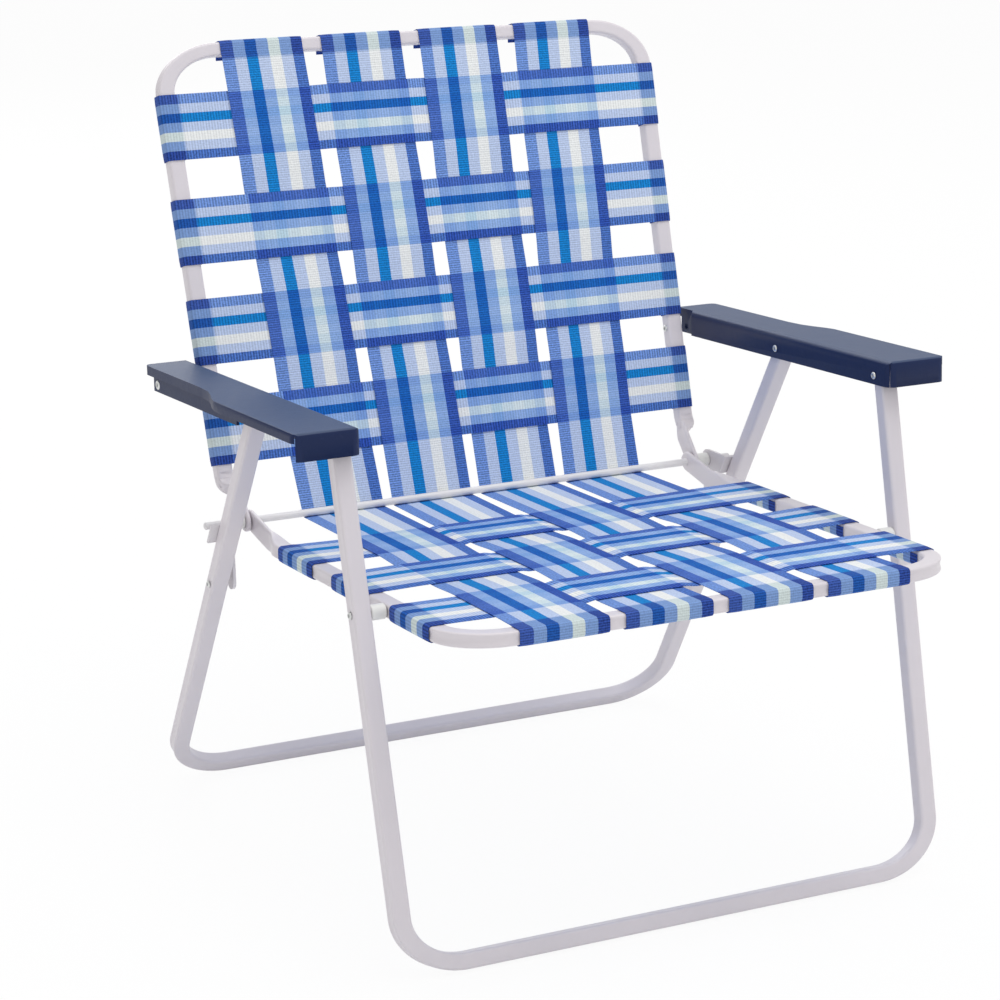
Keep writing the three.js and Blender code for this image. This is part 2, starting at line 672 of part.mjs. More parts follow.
// What a cross strap needs to know of the frame it is on
const onBack = {
  place: backPoint,
  half: backHalf,
  width: backCrossWidth,
  wrap: wrapRoundTube(backWide, backDeep),
  layer: layerOver(backDeep),
  stand: backStand,
  pitch: backPitch,
};
const onSeat = {
  place: seatPoint,
  half: () => seatHalf,
  width: seatCrossWidth,
  wrap: wrapRoundTube(seatWide, seatDeep),
  layer: layerOver(seatDeep),
  stand: seatStand,
  pitch: seatPitch,
};

// Stations across the chair for a cross strap: pairs [x, weave], weave from -1 (under) to 1 (over)
function crossStations(row, pitch) {
  const stations = [];
  const half = longWidth / 2;
  const slack = (pitch - longWidth) * rampShare;
  for (let column = 0; column < longCount; column += 1) {
    const centre = columnCentre(column, pitch);
    const weave = longIsOver(row, column) ? -1 : 1;
    stations.push([centre - half - slack, weave], [centre, weave], [centre + half + slack, weave]);
  }
  return stations;
}

function crossStrap(row, centre, frame) {
  const columns = Array.from({ length: crossAcross + 1 }, (_, k) => centre + frame.width * (k / crossAcross - 1 / 2));
  const lines = columns.map((distance) => {
    const half = frame.half(distance);
    const right = frame.wrap.map(([out, front]) => frame.place(half + out, distance, front));
    const left = frame.wrap.map(([out, front]) => frame.place(-half - out, distance, front)).reverse();
    const middle = crossStations(row, frame.pitch(distance)).map(
      ([x, weave]) => frame.place(x, distance, frame.layer + frame.stand(x, distance) + weave * weaveRise),
    );
    return [...left, ...middle, ...right];
  });
  return strip(lines[0].map((_, i) => lines.map((line) => line[i])));
}

// Stations along a long strap where it crosses the rows: pairs [distance, weave]
function longStations(rows, column, width) {
  const half = width / 2 + rowMargin;
  return rows.flatMap((centre, row) => {
    const weave = longIsOver(row, column) ? 1 : -1;
    return [[centre - half, weave], [centre, weave], [centre + half, weave]];
  });
}

// The angle at which a strap from a point touches the rod, turning one way or the other
function touchAngle(point, turn) {
  const [dy, dz] = [point.y - axlePivot.y, point.z - axlePivot.z];
  const radius = axleRadius + fitGap + webbingThickness / 2;
  return Math.atan2(dz, dy) + turn * Math.acos(radius / Math.hypot(dy, dz));
}

function roundRod(x, from, to) {
  const radius = axleRadius + fitGap + webbingThickness / 2;
  return [0, 1, 2, 3].map((step) => {
    const angle = THREE.MathUtils.lerp(from, to, step / 3);
    return new THREE.Vector3(x, axlePivot.y + radius * Math.cos(angle), axlePivot.z + radius * Math.sin(angle));
  });
}

function longStrapBack(column) {
  const shares = Array.from({ length: longAcross + 1 }, (_, k) => (k / longAcross - 1 / 2) * longWidth);
  const lines = shares.map((offset) => {
    const xAt = (down) => columnCentre(column, backPitch(down)) + offset;
    const round = onBack.wrap.map(([out, front]) => backPoint(xAt(0), -out, front)).reverse();
    const woven = longStations(backRows, column, backCrossWidth).map(([down, weave]) => {
      const x = xAt(down);
      return backPoint(x, down, onBack.layer + backStand(x, down) + weave * weaveRise);
    });
    const end = roundRod(xAt(axleDown), touchAngle(woven.at(-1), -1), splitAngle + splitHalfAngle);
    return [...round, ...woven, ...end];
  });
  return strip(lines[0].map((_, i) => lines.map((line) => line[i])));
}

function longStrapSeat(column) {
  const shares = Array.from({ length: longAcross + 1 }, (_, k) => (k / longAcross - 1 / 2) * longWidth);
  const lines = shares.map((offset) => {
    const xAt = (along) => columnCentre(column, seatPitch(along)) + offset;
    const woven = longStations(seatRows, column, seatCrossWidth).map(([along, weave]) => {
      const x = xAt(along);
      return seatPoint(x, along, onSeat.layer + seatStand(x, along) + weave * weaveRise);
    });
    const first = woven[0];
    const touch = touchAngle(first, 1);
    const start = roundRod(xAt(0), splitAngle - splitHalfAngle, touch > 0 ? touch - 2 * Math.PI : touch);
    const round = onSeat.wrap.map(([out, front]) => seatPoint(xAt(seatReach), seatReach + out, front));
    return [...start, ...woven, ...round];
  });
  return strip(lines[0].map((_, i) => lines.map((line) => line[i])));
}

// Assembly
const chair = new THREE.Group();
chair.name = 'folding_webbed_lawn_chair';

function put(name, geometry, material) {
  const mesh = new THREE.Mesh(geometry, material);
  mesh.name = name;
  chair.add(mesh);
}

function putPair(name, geometry, material) {
  put(`${name}_left`, geometry, material());
  put(`${name}_right`, mirrored(geometry), material());
}

put('seat_frame', seatFrame(), paint());
put('back_frame', backFrame(), paint());
put('front_leg', frontLeg(), paint());
put('rear_leg', rearLeg(), paint());
put('cross_rod', crossRod(), paint());
putPair('armrest', armrest(), navyPlastic);
putPair('hinge_link', hingeLink(), paint);

const seatOuter = seatHalf + seatWide / 2;
const legOuterAtSeat = frontLegHalf(seatPivot.z) + legWide / 2;
putPair('leg_spacer', spacer(seatPivot, seatOuter + gap, legOuterAtSeat - legWide - gap, shankRadius), whitePlastic);
const backEndOuter = backEndHalf + flatThickness / 2;
putPair('axle_spacer', spacer(axlePivot, backEndOuter + gap, linkInner - gap, axleRadius), whitePlastic);

const ribOuterFace = ribInner + ribThickness;
const backOuter = backHalf((backRail.z - armBackPivot.z) / Math.cos(backLean)) + backWide / 2;
const legInnerAtLink = rearLegHalf(linkPivot.z) - legWide / 2;
const linkOuter = linkInner + linkPlate;
putPair('leg_seat_rivet', rivet(seatPivot, seatOuter - seatWide - fitGap, legOuterAtSeat + fitGap), zinc);
putPair('arm_front_rivet', rivet(armFrontPivot, armInner - fitGap, ribOuterFace + fitGap), zinc);
putPair('arm_rear_rivet', rivet(armRearPivot, armInner - fitGap, ribOuterFace + fitGap), zinc);
putPair('back_rivet', rivet(armBackPivot, backOuter - backWide - fitGap, backOuter + gap, true, false), zinc);
putPair('back_pin', rivet(armBackPivot, backOuter + 3 * gap, pinEnd - headHeight, false, true), zinc);
putPair('leg_link_rivet', rivet(linkPivot, linkOuter + gap, legInnerAtLink + legWide + fitGap, false, true), zinc);
putPair('link_stud', rivet(linkPivot, linkInner - fitGap, linkOuter, true, false), zinc);

backRows.forEach((centre, row) => {
  put(`back_cross_strap_${row + 1}`, crossStrap(row, centre, onBack), webbing());
});
seatRows.forEach((centre, row) => {
  put(`seat_cross_strap_${row + 1}`, crossStrap(row, centre, onSeat), webbing());
});
for (let column = 0; column < longCount; column += 1) {
  put(`back_long_strap_${column + 1}`, longStrapBack(column), webbing());
  put(`seat_long_strap_${column + 1}`, longStrapSeat(column), webbing());
}

export default chair;
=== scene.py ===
# A folding garden chair: white frames of bent tube, blue striped webbing and dark blue armrests.

import math

import bmesh
import bpy
import numpy as np
from mathutils import Matrix, Vector


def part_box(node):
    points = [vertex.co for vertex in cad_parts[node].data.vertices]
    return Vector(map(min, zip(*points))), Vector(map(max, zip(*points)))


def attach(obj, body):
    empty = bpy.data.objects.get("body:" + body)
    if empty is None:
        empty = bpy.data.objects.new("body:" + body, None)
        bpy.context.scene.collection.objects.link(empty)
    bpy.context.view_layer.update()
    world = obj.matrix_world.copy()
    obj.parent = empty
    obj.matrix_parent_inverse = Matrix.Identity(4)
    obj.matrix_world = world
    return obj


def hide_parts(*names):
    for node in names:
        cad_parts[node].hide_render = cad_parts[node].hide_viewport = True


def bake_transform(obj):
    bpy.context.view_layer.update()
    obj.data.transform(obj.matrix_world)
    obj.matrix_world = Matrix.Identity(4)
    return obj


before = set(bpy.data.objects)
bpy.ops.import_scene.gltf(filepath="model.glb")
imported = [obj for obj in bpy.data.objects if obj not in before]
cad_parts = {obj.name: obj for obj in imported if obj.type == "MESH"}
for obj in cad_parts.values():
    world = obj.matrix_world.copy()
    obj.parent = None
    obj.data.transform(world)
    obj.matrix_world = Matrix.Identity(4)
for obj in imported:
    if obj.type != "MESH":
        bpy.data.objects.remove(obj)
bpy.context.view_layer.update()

# The camera: a long lens, well above the armrests, in front of the chair and to the sitter's right.
# It looks down at the seat.
eye_place = Vector((-1.1720, -2.1787, 1.0237))
eye_heading = math.radians(27.36)
eye_tilt = math.radians(-16.493)
eye_roll = math.radians(0.605)
eye_lens = 110.77
eye_film = 36
eye_near, eye_far = 0.1, 50


def placed(name, data):
    made = bpy.data.objects.new(name, data)
    bpy.context.collection.objects.link(made)
    return made


look = Vector((
    math.sin(eye_heading) * math.cos(eye_tilt),
    math.cos(eye_heading) * math.cos(eye_tilt),
    math.sin(eye_tilt),
))
level_right = Vector((math.cos(eye_heading), -math.sin(eye_heading), 0))
level_up = level_right.cross(look)
eye_right = math.cos(eye_roll) * level_right + math.sin(eye_roll) * level_up
eye_up = math.cos(eye_roll) * level_up - math.sin(eye_roll) * level_right
eye_data = bpy.data.cameras.new("eye")
eye_data.lens = eye_lens
eye_data.sensor_width = eye_film
eye_data.clip_start = eye_near
eye_data.clip_end = eye_far
eye = placed("eye", eye_data)
eye_turn = Matrix((eye_right, eye_up, -look)).transposed()
eye.matrix_world = Matrix.Translation(eye_place) @ eye_turn.to_4x4()
bpy.context.scene.camera = eye

# Front and rear leg frames: 15.5 by 13 mm steel tube with rounded corners, each bent to a U that
# stands on its rail and powder-coated white. The outer wall draws in a little round each bend, and
# the rail is a bit thinner than the legs. Sizes are in millimetres, and a tube's are half sizes.
leg_wide, leg_deep = 7.75, 6.5
front_rail_high, rear_rail_high = 6.75, 6.3
leg_half_top = 248.76
front_half_floor, rear_half_floor = 241.79, 248.37
leg_bend_up, leg_bend_along = 41.0, 52.0
tube_corner = 2.4
tip_angles = (15, 30, 45, 58, 68, 76, 82)
tip_least = 1.6
corner_points, wall_points = 6, 5
bend_points, bend_least = 26, 6
bend_dent, dent_per_curve, dent_run = 1.3, 45, 4
dent_outward, dent_sideways = 6, 2
straight = 1e-9
tube_smooth = 50
mm = 0.001

# Where the frames, the armrests and the links are pinned together, seen from the side
axle = Vector((0, 129.6, 266.3))
seat_pivot = Vector((0, -159.9, 275))
arm_front_pivot = Vector((0, -124.9, 402.6))
arm_rear_pivot = Vector((0, 27.3, 392.1))
arm_back_pivot = Vector((0, 186.6, 377.4))
link_pivot = Vector((0, 123, 217.2))

paint_white = (0.71, 0.67, 0.705, 1)
paint_shade = (0.62, 0.59, 0.63, 1)
paint_gloss = 0.34
dust_height = 0.16


class Wire:
    """What leaves a node by one socket, with the operators that work on it."""

    def __init__(self, home, socket):
        self.home = home
        self.socket = socket

    def math(self, operation, *others, swap=False):
        values = [*others, self] if swap else [self, *others]
        return self.home.node("ShaderNodeMath", {"operation": operation}, *values)

    def __add__(self, other):
        return self.math("ADD", other)

    __radd__ = __add__

    def __sub__(self, other):
        return self.math("SUBTRACT", other)

    def __rsub__(self, other):
        return self.math("SUBTRACT", other, swap=True)

    def __mul__(self, other):
        return self.math("MULTIPLY", other)

    __rmul__ = __mul__

    def __truediv__(self, other):
        return self.math("DIVIDE", other)

    def __pow__(self, other):
        return self.math("POWER", other)

    def __gt__(self, other):
        return self.math("GREATER_THAN", other)

    def __lt__(self, other):
        return self.math("LESS_THAN", other)


class Nodes:
    """A tree of nodes, added one call at a time."""

    def __init__(self, tree):
        self.tree = tree

    def node(self, kind, settings, *values, out=0, **named):
        """A node of a kind with its settings, and values or wires for its sockets."""
        made = self.tree.nodes.new(kind)
        for name, value in settings.items():
            if name == "stops":
                ramp = made.color_ramp
                while len(ramp.elements) < len(value):
                    ramp.elements.new(1)
                for element, (place, colour) in zip(ramp.elements, value):
                    element.position = place
                    element.color = colour
            elif name == "interpolation":
                made.color_ramp.interpolation = value
            else:
                setattr(made, name, value)
        for number, value in enumerate(values):
            if value is not None:
                self.feed(made.inputs[number], value)
        for name, value in named.items():
            self.feed(made.inputs[name.replace("_", " ")], value)
        if made.outputs:
            return Wire(self, made.outputs[out])

    def feed(self, socket, value):
        if isinstance(value, Wire):
            self.tree.links.new(value.socket, socket)
        else:
            socket.default_value = value

    def part(self, vector, axis):
        return self.node("ShaderNodeSeparateXYZ", {}, vector, out=axis)


class Finish(Nodes):
    """One material, with calls for what most finishes need."""

    def __init__(self, name):
        self.material = bpy.data.materials.new(name)
        self.material.use_nodes = True
        super().__init__(self.material.node_tree)
        self.shader = self.tree.nodes["Principled BSDF"]

    def surface(self, **values):
        for name, value in values.items():
            self.feed(self.shader.inputs[name.replace("_", " ")], value)
        return self.material

    def mix(self, share, first, second):
        """Two colours mixed; the five sockets before them are for numbers and vectors."""
        unused = [None] * 5
        return self.node(
            "ShaderNodeMix", {"data_type": "RGBA"}, share, *unused, first, second, out=2)

    def object_place(self):
        return self.node("ShaderNodeTexCoord", {}, out="Object")

    def noise(self, place, **sockets):
        return self.node("ShaderNodeTexNoise", {}, place, **sockets)

    def bump(self, height, **sockets):
        return self.node("ShaderNodeBump", {}, Height=height, **sockets)

    def rising(self, value, start, stop, most=1.0):
        """0 where the value is short of start, and most where it is past stop."""
        return self.node("ShaderNodeMapRange", {}, value, start, stop, 0.0, most)


def powder_coat(name, white, shade):
    """Smooth white paint with faint orange peel, and a little dust low down."""
    coat = Finish(name)
    place = coat.object_place()
    clouds = coat.noise(place, Scale=9.0, Detail=3.0)
    specks = coat.noise(place, Scale=140.0, Detail=2.0)
    peel = coat.noise(place, Scale=650.0, Detail=1.0)
    tone = coat.rising(clouds, 0.4, 0.75, most=0.45)
    height = coat.part(place, "Z")
    dust = coat.rising(height, dust_height, 0.0, most=0.3)
    colour = coat.mix(tone + dust * specks, white, shade)
    bump = coat.bump(peel, Strength=0.05, Distance=0.0004)
    rough = paint_gloss - 0.05 + 0.12 * specks
    return coat.surface(Base_Color=colour, Roughness=rough, Normal=bump, Specular_IOR_Level=0.5)


frame_coat = powder_coat("white_frame_coat", paint_white, paint_shade)


def dress(piece, material, slot, body, *nodes):
    """Gives a finished piece its material and its body; the slot is not used."""
    piece.data.materials.clear()
    piece.data.materials.append(material)
    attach(piece, body)
    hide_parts(*nodes)


def smooth_under(mesh, angle):
    """Shades a mesh smooth, but keeps edges sharper than this angle crisp."""
    mesh.shade_smooth()
    mesh.set_sharp_from_angle(angle=math.radians(angle))


def mesh_object(name, points, faces, smooth_angle):
    """A mesh piece from points in millimetres."""
    mesh = bpy.data.meshes.new(name)
    mesh.from_pydata([tuple(c * mm for c in p) for p in points], [], faces)
    mesh.validate()
    shell = bmesh.new()
    shell.from_mesh(mesh)
    bmesh.ops.recalc_face_normals(shell, faces=shell.faces)
    shell.to_mesh(mesh)
    shell.free()
    smooth_under(mesh, smooth_angle)
    return placed(name, mesh)


def at_x(point, x):
    return Vector((x, point.y, point.z))


def round_point(pivot, x, radius, angle):
    return Vector((x, pivot.y + radius * math.cos(angle), pivot.z + radius * math.sin(angle)))


def tube_ring(wide, high):
    """Points round a rounded rectangle of these half sizes, with some along each wall."""
    radius = min(tube_corner, wide, high)
    corners = [(1, 1), (-1, 1), (-1, -1), (1, -1)]
    ring = []
    for number, (sx, sy) in enumerate(corners):
        for step in range(corner_points + 1):
            angle = (number + step / corner_points) * math.pi / 2
            ring.append(Vector((
                sx * (wide - radius) + radius * math.cos(angle),
                sy * (high - radius) + radius * math.sin(angle),
            )))
        turn = (number + 1) % 4
        start = ring[-1]
        nx, ny = corners[turn]
        angle = turn * math.pi / 2
        stop = Vector((
            nx * (wide - radius) + radius * math.cos(angle),
            ny * (high - radius) + radius * math.sin(angle),
        ))
        ring += [start.lerp(stop, k / (wall_points + 1)) for k in range(1, wall_points + 1)]
    return ring


def bent_line(corners, bends):
    """Straight runs joined by bends, each with the lengths that it takes of the runs beside it."""
    line = [corners[0]]
    for before, corner, after, (back_run, on_run) in zip(corners, corners[1:], corners[2:], bends):
        back, on = (before - corner).normalized(), (after - corner).normalized()
        steps = max(bend_least, round(bend_points * (math.pi - back.angle(on)) / (math.pi / 2)))
        for k in range(steps + 1):
            turn = math.pi / 2 * k / steps
            into, out = back * back_run * (1 - math.sin(turn)), on * on_run * (1 - math.cos(turn))
            line.append(corner + into + out)
    return line + [corners[-1]]


def swept_tube(name, stations, normal):
    """A closed tube through stations (centre, half width, half height)."""
    centres = [s[0] for s in stations]
    last = len(centres) - 1
    tangents = []
    for i, centre in enumerate(centres):
        ahead = (centres[min(i + 1, last)] - centre).normalized()
        behind = (centre - centres[max(i - 1, 0)]).normalized()
        tangents.append((ahead + behind).normalized())
    bends = []
    for i in range(last + 1):
        reach = (centres[min(i + 1, last)] - centres[max(i - 1, 0)]).length
        turn = tangents[min(i + 1, last)] - tangents[max(i - 1, 0)]
        bends.append(turn / reach if reach > 0 else Vector((0, 0, 0)))
    points, faces = [], []
    up = normal.copy()
    for i, (centre, wide, high) in enumerate(stations):
        if i:
            up.rotate(tangents[i - 1].rotation_difference(tangents[i]))
        across = tangents[i].cross(up)
        near = bends[max(i - dent_run, 0):i + dent_run + 1]
        bend = sum(near, Vector((0, 0, 0))) / len(near)
        strength = min(1, bend.length * dent_per_curve)
        away = Vector((-bend.dot(across), -bend.dot(up)))
        away = away.normalized() if away.length > straight else away
        for p in tube_ring(wide, high):
            out = p.x * away.x / wide + p.y * away.y / high
            side = p.y / high if abs(away.x) > abs(away.y) else p.x / wide
            pull = max(0, out) ** dent_outward * max(0, 1 - side * side) ** dent_sideways
            pull *= bend_dent * strength
            points.append(centre + across * (p.x - away.x * pull) + up * (p.y - away.y * pull))
    count = len(points) // len(stations)
    for i in range(last):
        for j in range(count):
            k = (j + 1) % count
            faces.append((i * count + j, (i + 1) * count + j, (i + 1) * count + k, i * count + k))
    faces.append(tuple(range(count)))
    faces.append(tuple(last * count + j for j in reversed(range(count))))
    return mesh_object(name, points, faces, tube_smooth)


def round_tip(end, inward, wide, high):
    """Stations that round off a tube's end past its pivot."""
    outward = (end - inward).normalized()
    tip = [math.sin(math.radians(angle)) for angle in tip_angles]
    return [(end + outward * high * s, wide, max(high * math.sqrt(1 - s * s), tip_least)) for s in tip]


def side_and_rail(line, wide, rail_high, deep):
    """Stations along a U whose rail is a bit thinner than its sides."""
    stations = []
    for p, ahead, behind in zip(line, line[1:] + line[-1:], line[:1] + line[:-1]):
        along_rail = abs((ahead - behind).normalized().x) ** 2
        stations.append((p, wide + (rail_high - wide) * along_rail, deep))
    return stations


def leg_frame(name, pivot, through, half_top, half_floor, rail_high):
    lean = math.atan2(pivot.y - through.y, pivot.z - through.z)
    flat_wide, flat_deep = rail_high - tube_corner, leg_deep - tube_corner
    rail = flat_wide * math.cos(lean) + flat_deep * abs(math.sin(lean)) + tube_corner
    rail_y = pivot.y - (pivot.z - rail) * math.tan(lean)
    line = bent_line([
        at_x(pivot, -half_top),
        Vector((-half_floor, rail_y, rail)),
        Vector((half_floor, rail_y, rail)),
        at_x(pivot, half_top),
    ], [(leg_bend_up, leg_bend_along), (leg_bend_along, leg_bend_up)])
    stations = list(reversed(round_tip(line[0], line[1], leg_wide, leg_deep)))
    stations += side_and_rail(line, leg_wide, rail_high, leg_deep)
    stations += round_tip(line[-1], line[-2], leg_wide, leg_deep)
    return swept_tube(name, stations, Vector((0, math.cos(lean), -math.sin(lean))))


front_leg = leg_frame(
    "front_leg_tube", arm_front_pivot, seat_pivot, leg_half_top, front_half_floor, front_rail_high)
dress(front_leg, frame_coat, "frame_paint", "front_legs", "front_leg")
rear_leg = leg_frame(
    "rear_leg_tube", arm_rear_pivot, link_pivot, leg_half_top, rear_half_floor, rear_rail_high)
dress(rear_leg, frame_coat, "frame_paint", "rear_legs", "rear_leg")

# Seat frame: white painted tube, 15 by 11.5 mm, bent to a U that is open at the rear. Each end is
# pressed flat, turned up to the cross rod and rounded where the rod goes through it.
seat_wide, seat_deep = 7.5, 5.75
seat_half, seat_end_half = 218.3, 214.3
seat_front = Vector((0, -274.2, 282.2))
seat_drop = 9.5
seat_bend_side, seat_bend_front = 37.0, 44.0
seat_flat, seat_flare = 40.0, 78.0
flat_half, flat_high = 2.0, 9.2
flat_stops = (0, 0.3, 0.6, 0.85)
flare_points, late_power = 12, 1.7
elbow_softness = 0.002
join_gap = 5
seat_origin = axle - Vector((0, 0, seat_drop))
seat_slope = math.atan2(seat_front.z - seat_origin.z, seat_origin.y - seat_front.y)
seat_reach = math.hypot(seat_origin.y - seat_front.y, seat_front.z - seat_origin.z)


def seat_point(x, along, rise):
    return Vector((
        x,
        seat_origin.y - along * math.cos(seat_slope) + rise * math.sin(seat_slope),
        seat_origin.z + along * math.sin(seat_slope) + rise * math.cos(seat_slope),
    ))


def on_seat_end(x, distance):
    """The middle of a side's rear end, which turns up to the rod from its elbow."""
    left = 1 - distance / seat_flat
    lift = (axle - seat_origin) * (left + math.sqrt(left * left + elbow_softness)) / 2
    return seat_point(x, distance, 0) + lift


def ease(share):
    return share * share * (3 - 2 * share)


def pressed_end(at, flat, flare, end_x, full_x, full_wide, full_deep):
    """Stations from a pressed end's rounded tip to the full tube; at(x, distance) places them."""
    stations = [(at(end_x, flat * share), flat_half, flat_high) for share in flat_stops]
    for share in [k / flare_points for k in range(flare_points + 1)]:
        soft = ease(share)
        place = at(end_x + (full_x - end_x) * soft, flat + (flare - flat) * share)
        wide = flat_half + (full_wide - flat_half) * soft
        high = flat_high + (full_deep - flat_high) * soft ** late_power
        stations.append((place, wide, high))
    return list(reversed(round_tip(stations[0][0], stations[1][0], flat_half, flat_high))) + stations


def mirrored_stations(half_side, middle):
    """One side's stations, the middle, and the same side on the other side of the chair."""
    other = [(Vector((-p.x, p.y, p.z)), wide, high) for p, wide, high in reversed(half_side)]
    return half_side + middle + other


seat_side = pressed_end(
    on_seat_end, seat_flat, seat_flare, -seat_end_half, -seat_half, seat_wide, seat_deep)
seat_line = bent_line([
    seat_point(-seat_half, seat_flare + join_gap, 0),
    seat_point(-seat_half, seat_reach, 0),
    seat_point(seat_half, seat_reach, 0),
    seat_point(seat_half, seat_flare + join_gap, 0),
], [(seat_bend_side, seat_bend_front), (seat_bend_front, seat_bend_side)])
seat_middle = [(p, seat_wide, seat_deep) for p in seat_line]
seat_ahead = (on_seat_end(0, seat_flat / 4) - on_seat_end(0, 0)).normalized()
seat_tube = swept_tube(
    "seat_tube", mirrored_stations(seat_side, seat_middle), Vector((0, seat_ahead.z, -seat_ahead.y)))
dress(seat_tube, frame_coat, "frame_paint", "seat", "seat_frame")

# Back frame: white painted tube, 14.5 by 12 mm, bent to an upside-down U. Its sides lean out a little
# towards the top, and its lower ends bend forward to the cross rod and are pressed flat beside the
# seat frame's ends.
back_wide, back_deep = 7.25, 6.0
top_rail_high, top_rail_lift = 6.0, 0.7
back_rail = Vector((0, 274.9, 642.1))
back_half_top, back_half_low, back_end_half = 233.2, 226.2, 219.3
back_bend_side, back_bend_top = 38.0, 51.5
elbow_height, elbow_bend = 298.1, 4.5
back_flat, back_flare = 27.0, 40.0
back_join_gap = 0.5
back_lean = math.atan2(back_rail.y - arm_back_pivot.y, back_rail.z - arm_back_pivot.z)


def back_point(x, down, front):
    return Vector((
        x,
        back_rail.y - down * math.sin(back_lean) - front * math.cos(back_lean),
        back_rail.z - down * math.cos(back_lean) + front * math.sin(back_lean),
    ))


elbow_down = (back_rail.z - elbow_height) / math.cos(back_lean)


def back_half(down):
    return back_half_top + (back_half_low - back_half_top) * down / elbow_down


elbow = back_point(0, elbow_down, 0)
elbow_up = (elbow - axle).normalized()


def on_lower_end(x, distance):
    return at_x(axle + elbow_up * distance, x)


back_side = pressed_end(
    on_lower_end, back_flat, back_flare, -back_end_half, -back_half_low, back_wide, back_deep)
back_line = bent_line([
    on_lower_end(-back_half_low, back_flare + back_join_gap),
    at_x(elbow, -back_half_low),
    back_point(-back_half_top, -top_rail_lift, 0),
    back_point(back_half_top, -top_rail_lift, 0),
    at_x(elbow, back_half_low),
    on_lower_end(back_half_low, back_flare + back_join_gap),
], [
    (elbow_bend, elbow_bend),
    (back_bend_side, back_bend_top),
    (back_bend_top, back_bend_side),
    (elbow_bend, elbow_bend),
])
back_middle = side_and_rail(back_line, back_wide, top_rail_high, back_deep)
back_tube = swept_tube(
    "back_tube", mirrored_stations(back_side, back_middle), Vector((0, elbow_up.z, -elbow_up.y)))
dress(back_tube, frame_coat, "frame_paint", "back", "back_frame")

# Cross rod: a thin steel rod from side to side, painted white, with domed ends. Seat, back and
# links turn on it.
rod_radius, rod_half = 3.2, 257.1
rod_dome = 1.2
rod_crown, rod_crown_depth = 2.3, 0.35
rod_tip = 1.4
round_steps, round_smooth = 40, 35
rod_white = (0.76, 0.75, 0.76, 1)


def turned(name, pivot, profile):
    """A round piece along X from (x, radius) pairs; a zero radius closes it on its axis."""
    points, faces, rings = [], [], []
    for x, radius in profile:
        start = len(points)
        ring = 1 if radius == 0 else round_steps
        for k in range(ring):
            points.append(round_point(pivot, x, radius, 2 * math.pi * k / round_steps))
        rings.append((start, ring))
    closed = profile[0][1] > 0
    pairs = list(zip(rings, rings[1:])) + ([(rings[-1], rings[0])] if closed else [])
    for (a, na), (b, nb) in pairs:
        for k in range(round_steps):
            j = (k + 1) % round_steps
            face = [a + k % na, b + k % nb, b + j % nb, a + j % na]
            faces.append(tuple(dict.fromkeys(face)))
    return mesh_object(name, points, faces, round_smooth)


rod_end = [
    (rod_half - rod_dome, rod_radius),
    (rod_half - rod_crown_depth, rod_crown),
    (rod_half, rod_tip),
    (rod_half, 0),
]
rod = turned("axle_rod", axle, [(-x, radius) for x, radius in reversed(rod_end)] + rod_end)
rod_coat = powder_coat("white_rod_coat", rod_white, paint_shade)
dress(rod, rod_coat, "rod_paint", "seat", "cross_rod")

# Spacers: four short sleeves of white plastic with a small chamfer. Two on the rod keep the links off
# the back frame, and two on rivets keep the front legs off the seat frame.
sleeve_radius, sleeve_edge = 6.2, 0.6
sleeve_white, sleeve_grey = (0.82, 0.82, 0.80, 1), (0.74, 0.74, 0.72, 1)
rod_bore, rivet_bore = 3.5, 2.9


def sleeve_plastic():
    white = Finish("white_sleeve_plastic")
    place = white.object_place()
    grain = white.noise(place, Scale=500.0, Detail=2.0)
    tint = white.noise(place, Scale=60.0)
    colour = white.mix(tint, sleeve_white, sleeve_grey)
    bump = white.bump(grain, Strength=0.08, Distance=0.0003)
    return white.surface(Base_Color=colour, Roughness=0.42 + 0.1 * grain, Normal=bump)


def sleeve_profile(start, stop, bore):
    return [
        (start, bore),
        (start, sleeve_radius - sleeve_edge),
        (start + sleeve_edge, sleeve_radius),
        (stop - sleeve_edge, sleeve_radius),
        (stop, sleeve_radius - sleeve_edge),
        (stop, bore),
    ]


spacer_plastic = sleeve_plastic()
sides = (("left", 1), ("right", -1))
for side, sign in sides:
    for kind, pivot, bore in (("axle_spacer", axle, rod_bore), ("leg_spacer", seat_pivot, rivet_bore)):
        low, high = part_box(f"{kind}_{side}")
        ends = sorted((low.x * 1000, high.x * 1000))
        sleeve = turned(f"{kind}_sleeve_{side}", pivot, sleeve_profile(*ends, bore))
        dress(sleeve, spacer_plastic, "spacer_plastic", "seat", f"{kind}_{side}")

# Hinge links: one pressed steel plate on each side, painted white, from the rod down to the rear leg.
# A tab turned out behind the leg stops it when the chair is open.
link_plate, tab_thick = 2.5, 2.0
link_head, link_foot = 9.0, 7.0
link_inner, tab_outer = 234.2, 262.7
tab_low, tab_high = 43.0, 63.0
link_gap = 0.3
link_round, round_segments, round_from = 0.5, 2, 40
cheek_steps = 24
link_white = (0.70, 0.675, 0.70, 1)


def plate(name, outline, start, stop):
    """A flat plate with a (y, z) outline, from one x to another."""
    count = len(outline)
    points = [Vector((x, y, z)) for x in (start, stop) for y, z in outline]
    faces = [tuple(reversed(range(count))), tuple(range(count, 2 * count))]
    faces += [(k, (k + 1) % count, count + (k + 1) % count, count + k) for k in range(count)]
    return mesh_object(name, points, faces, round_smooth)


def made_plain(piece):
    """Keeps what a piece's modifiers make of it, and takes them off."""
    bpy.context.view_layer.update()
    whole = piece.evaluated_get(bpy.context.evaluated_depsgraph_get())
    mesh = bpy.data.meshes.new_from_object(whole)
    piece.modifiers.clear()
    piece.data = mesh


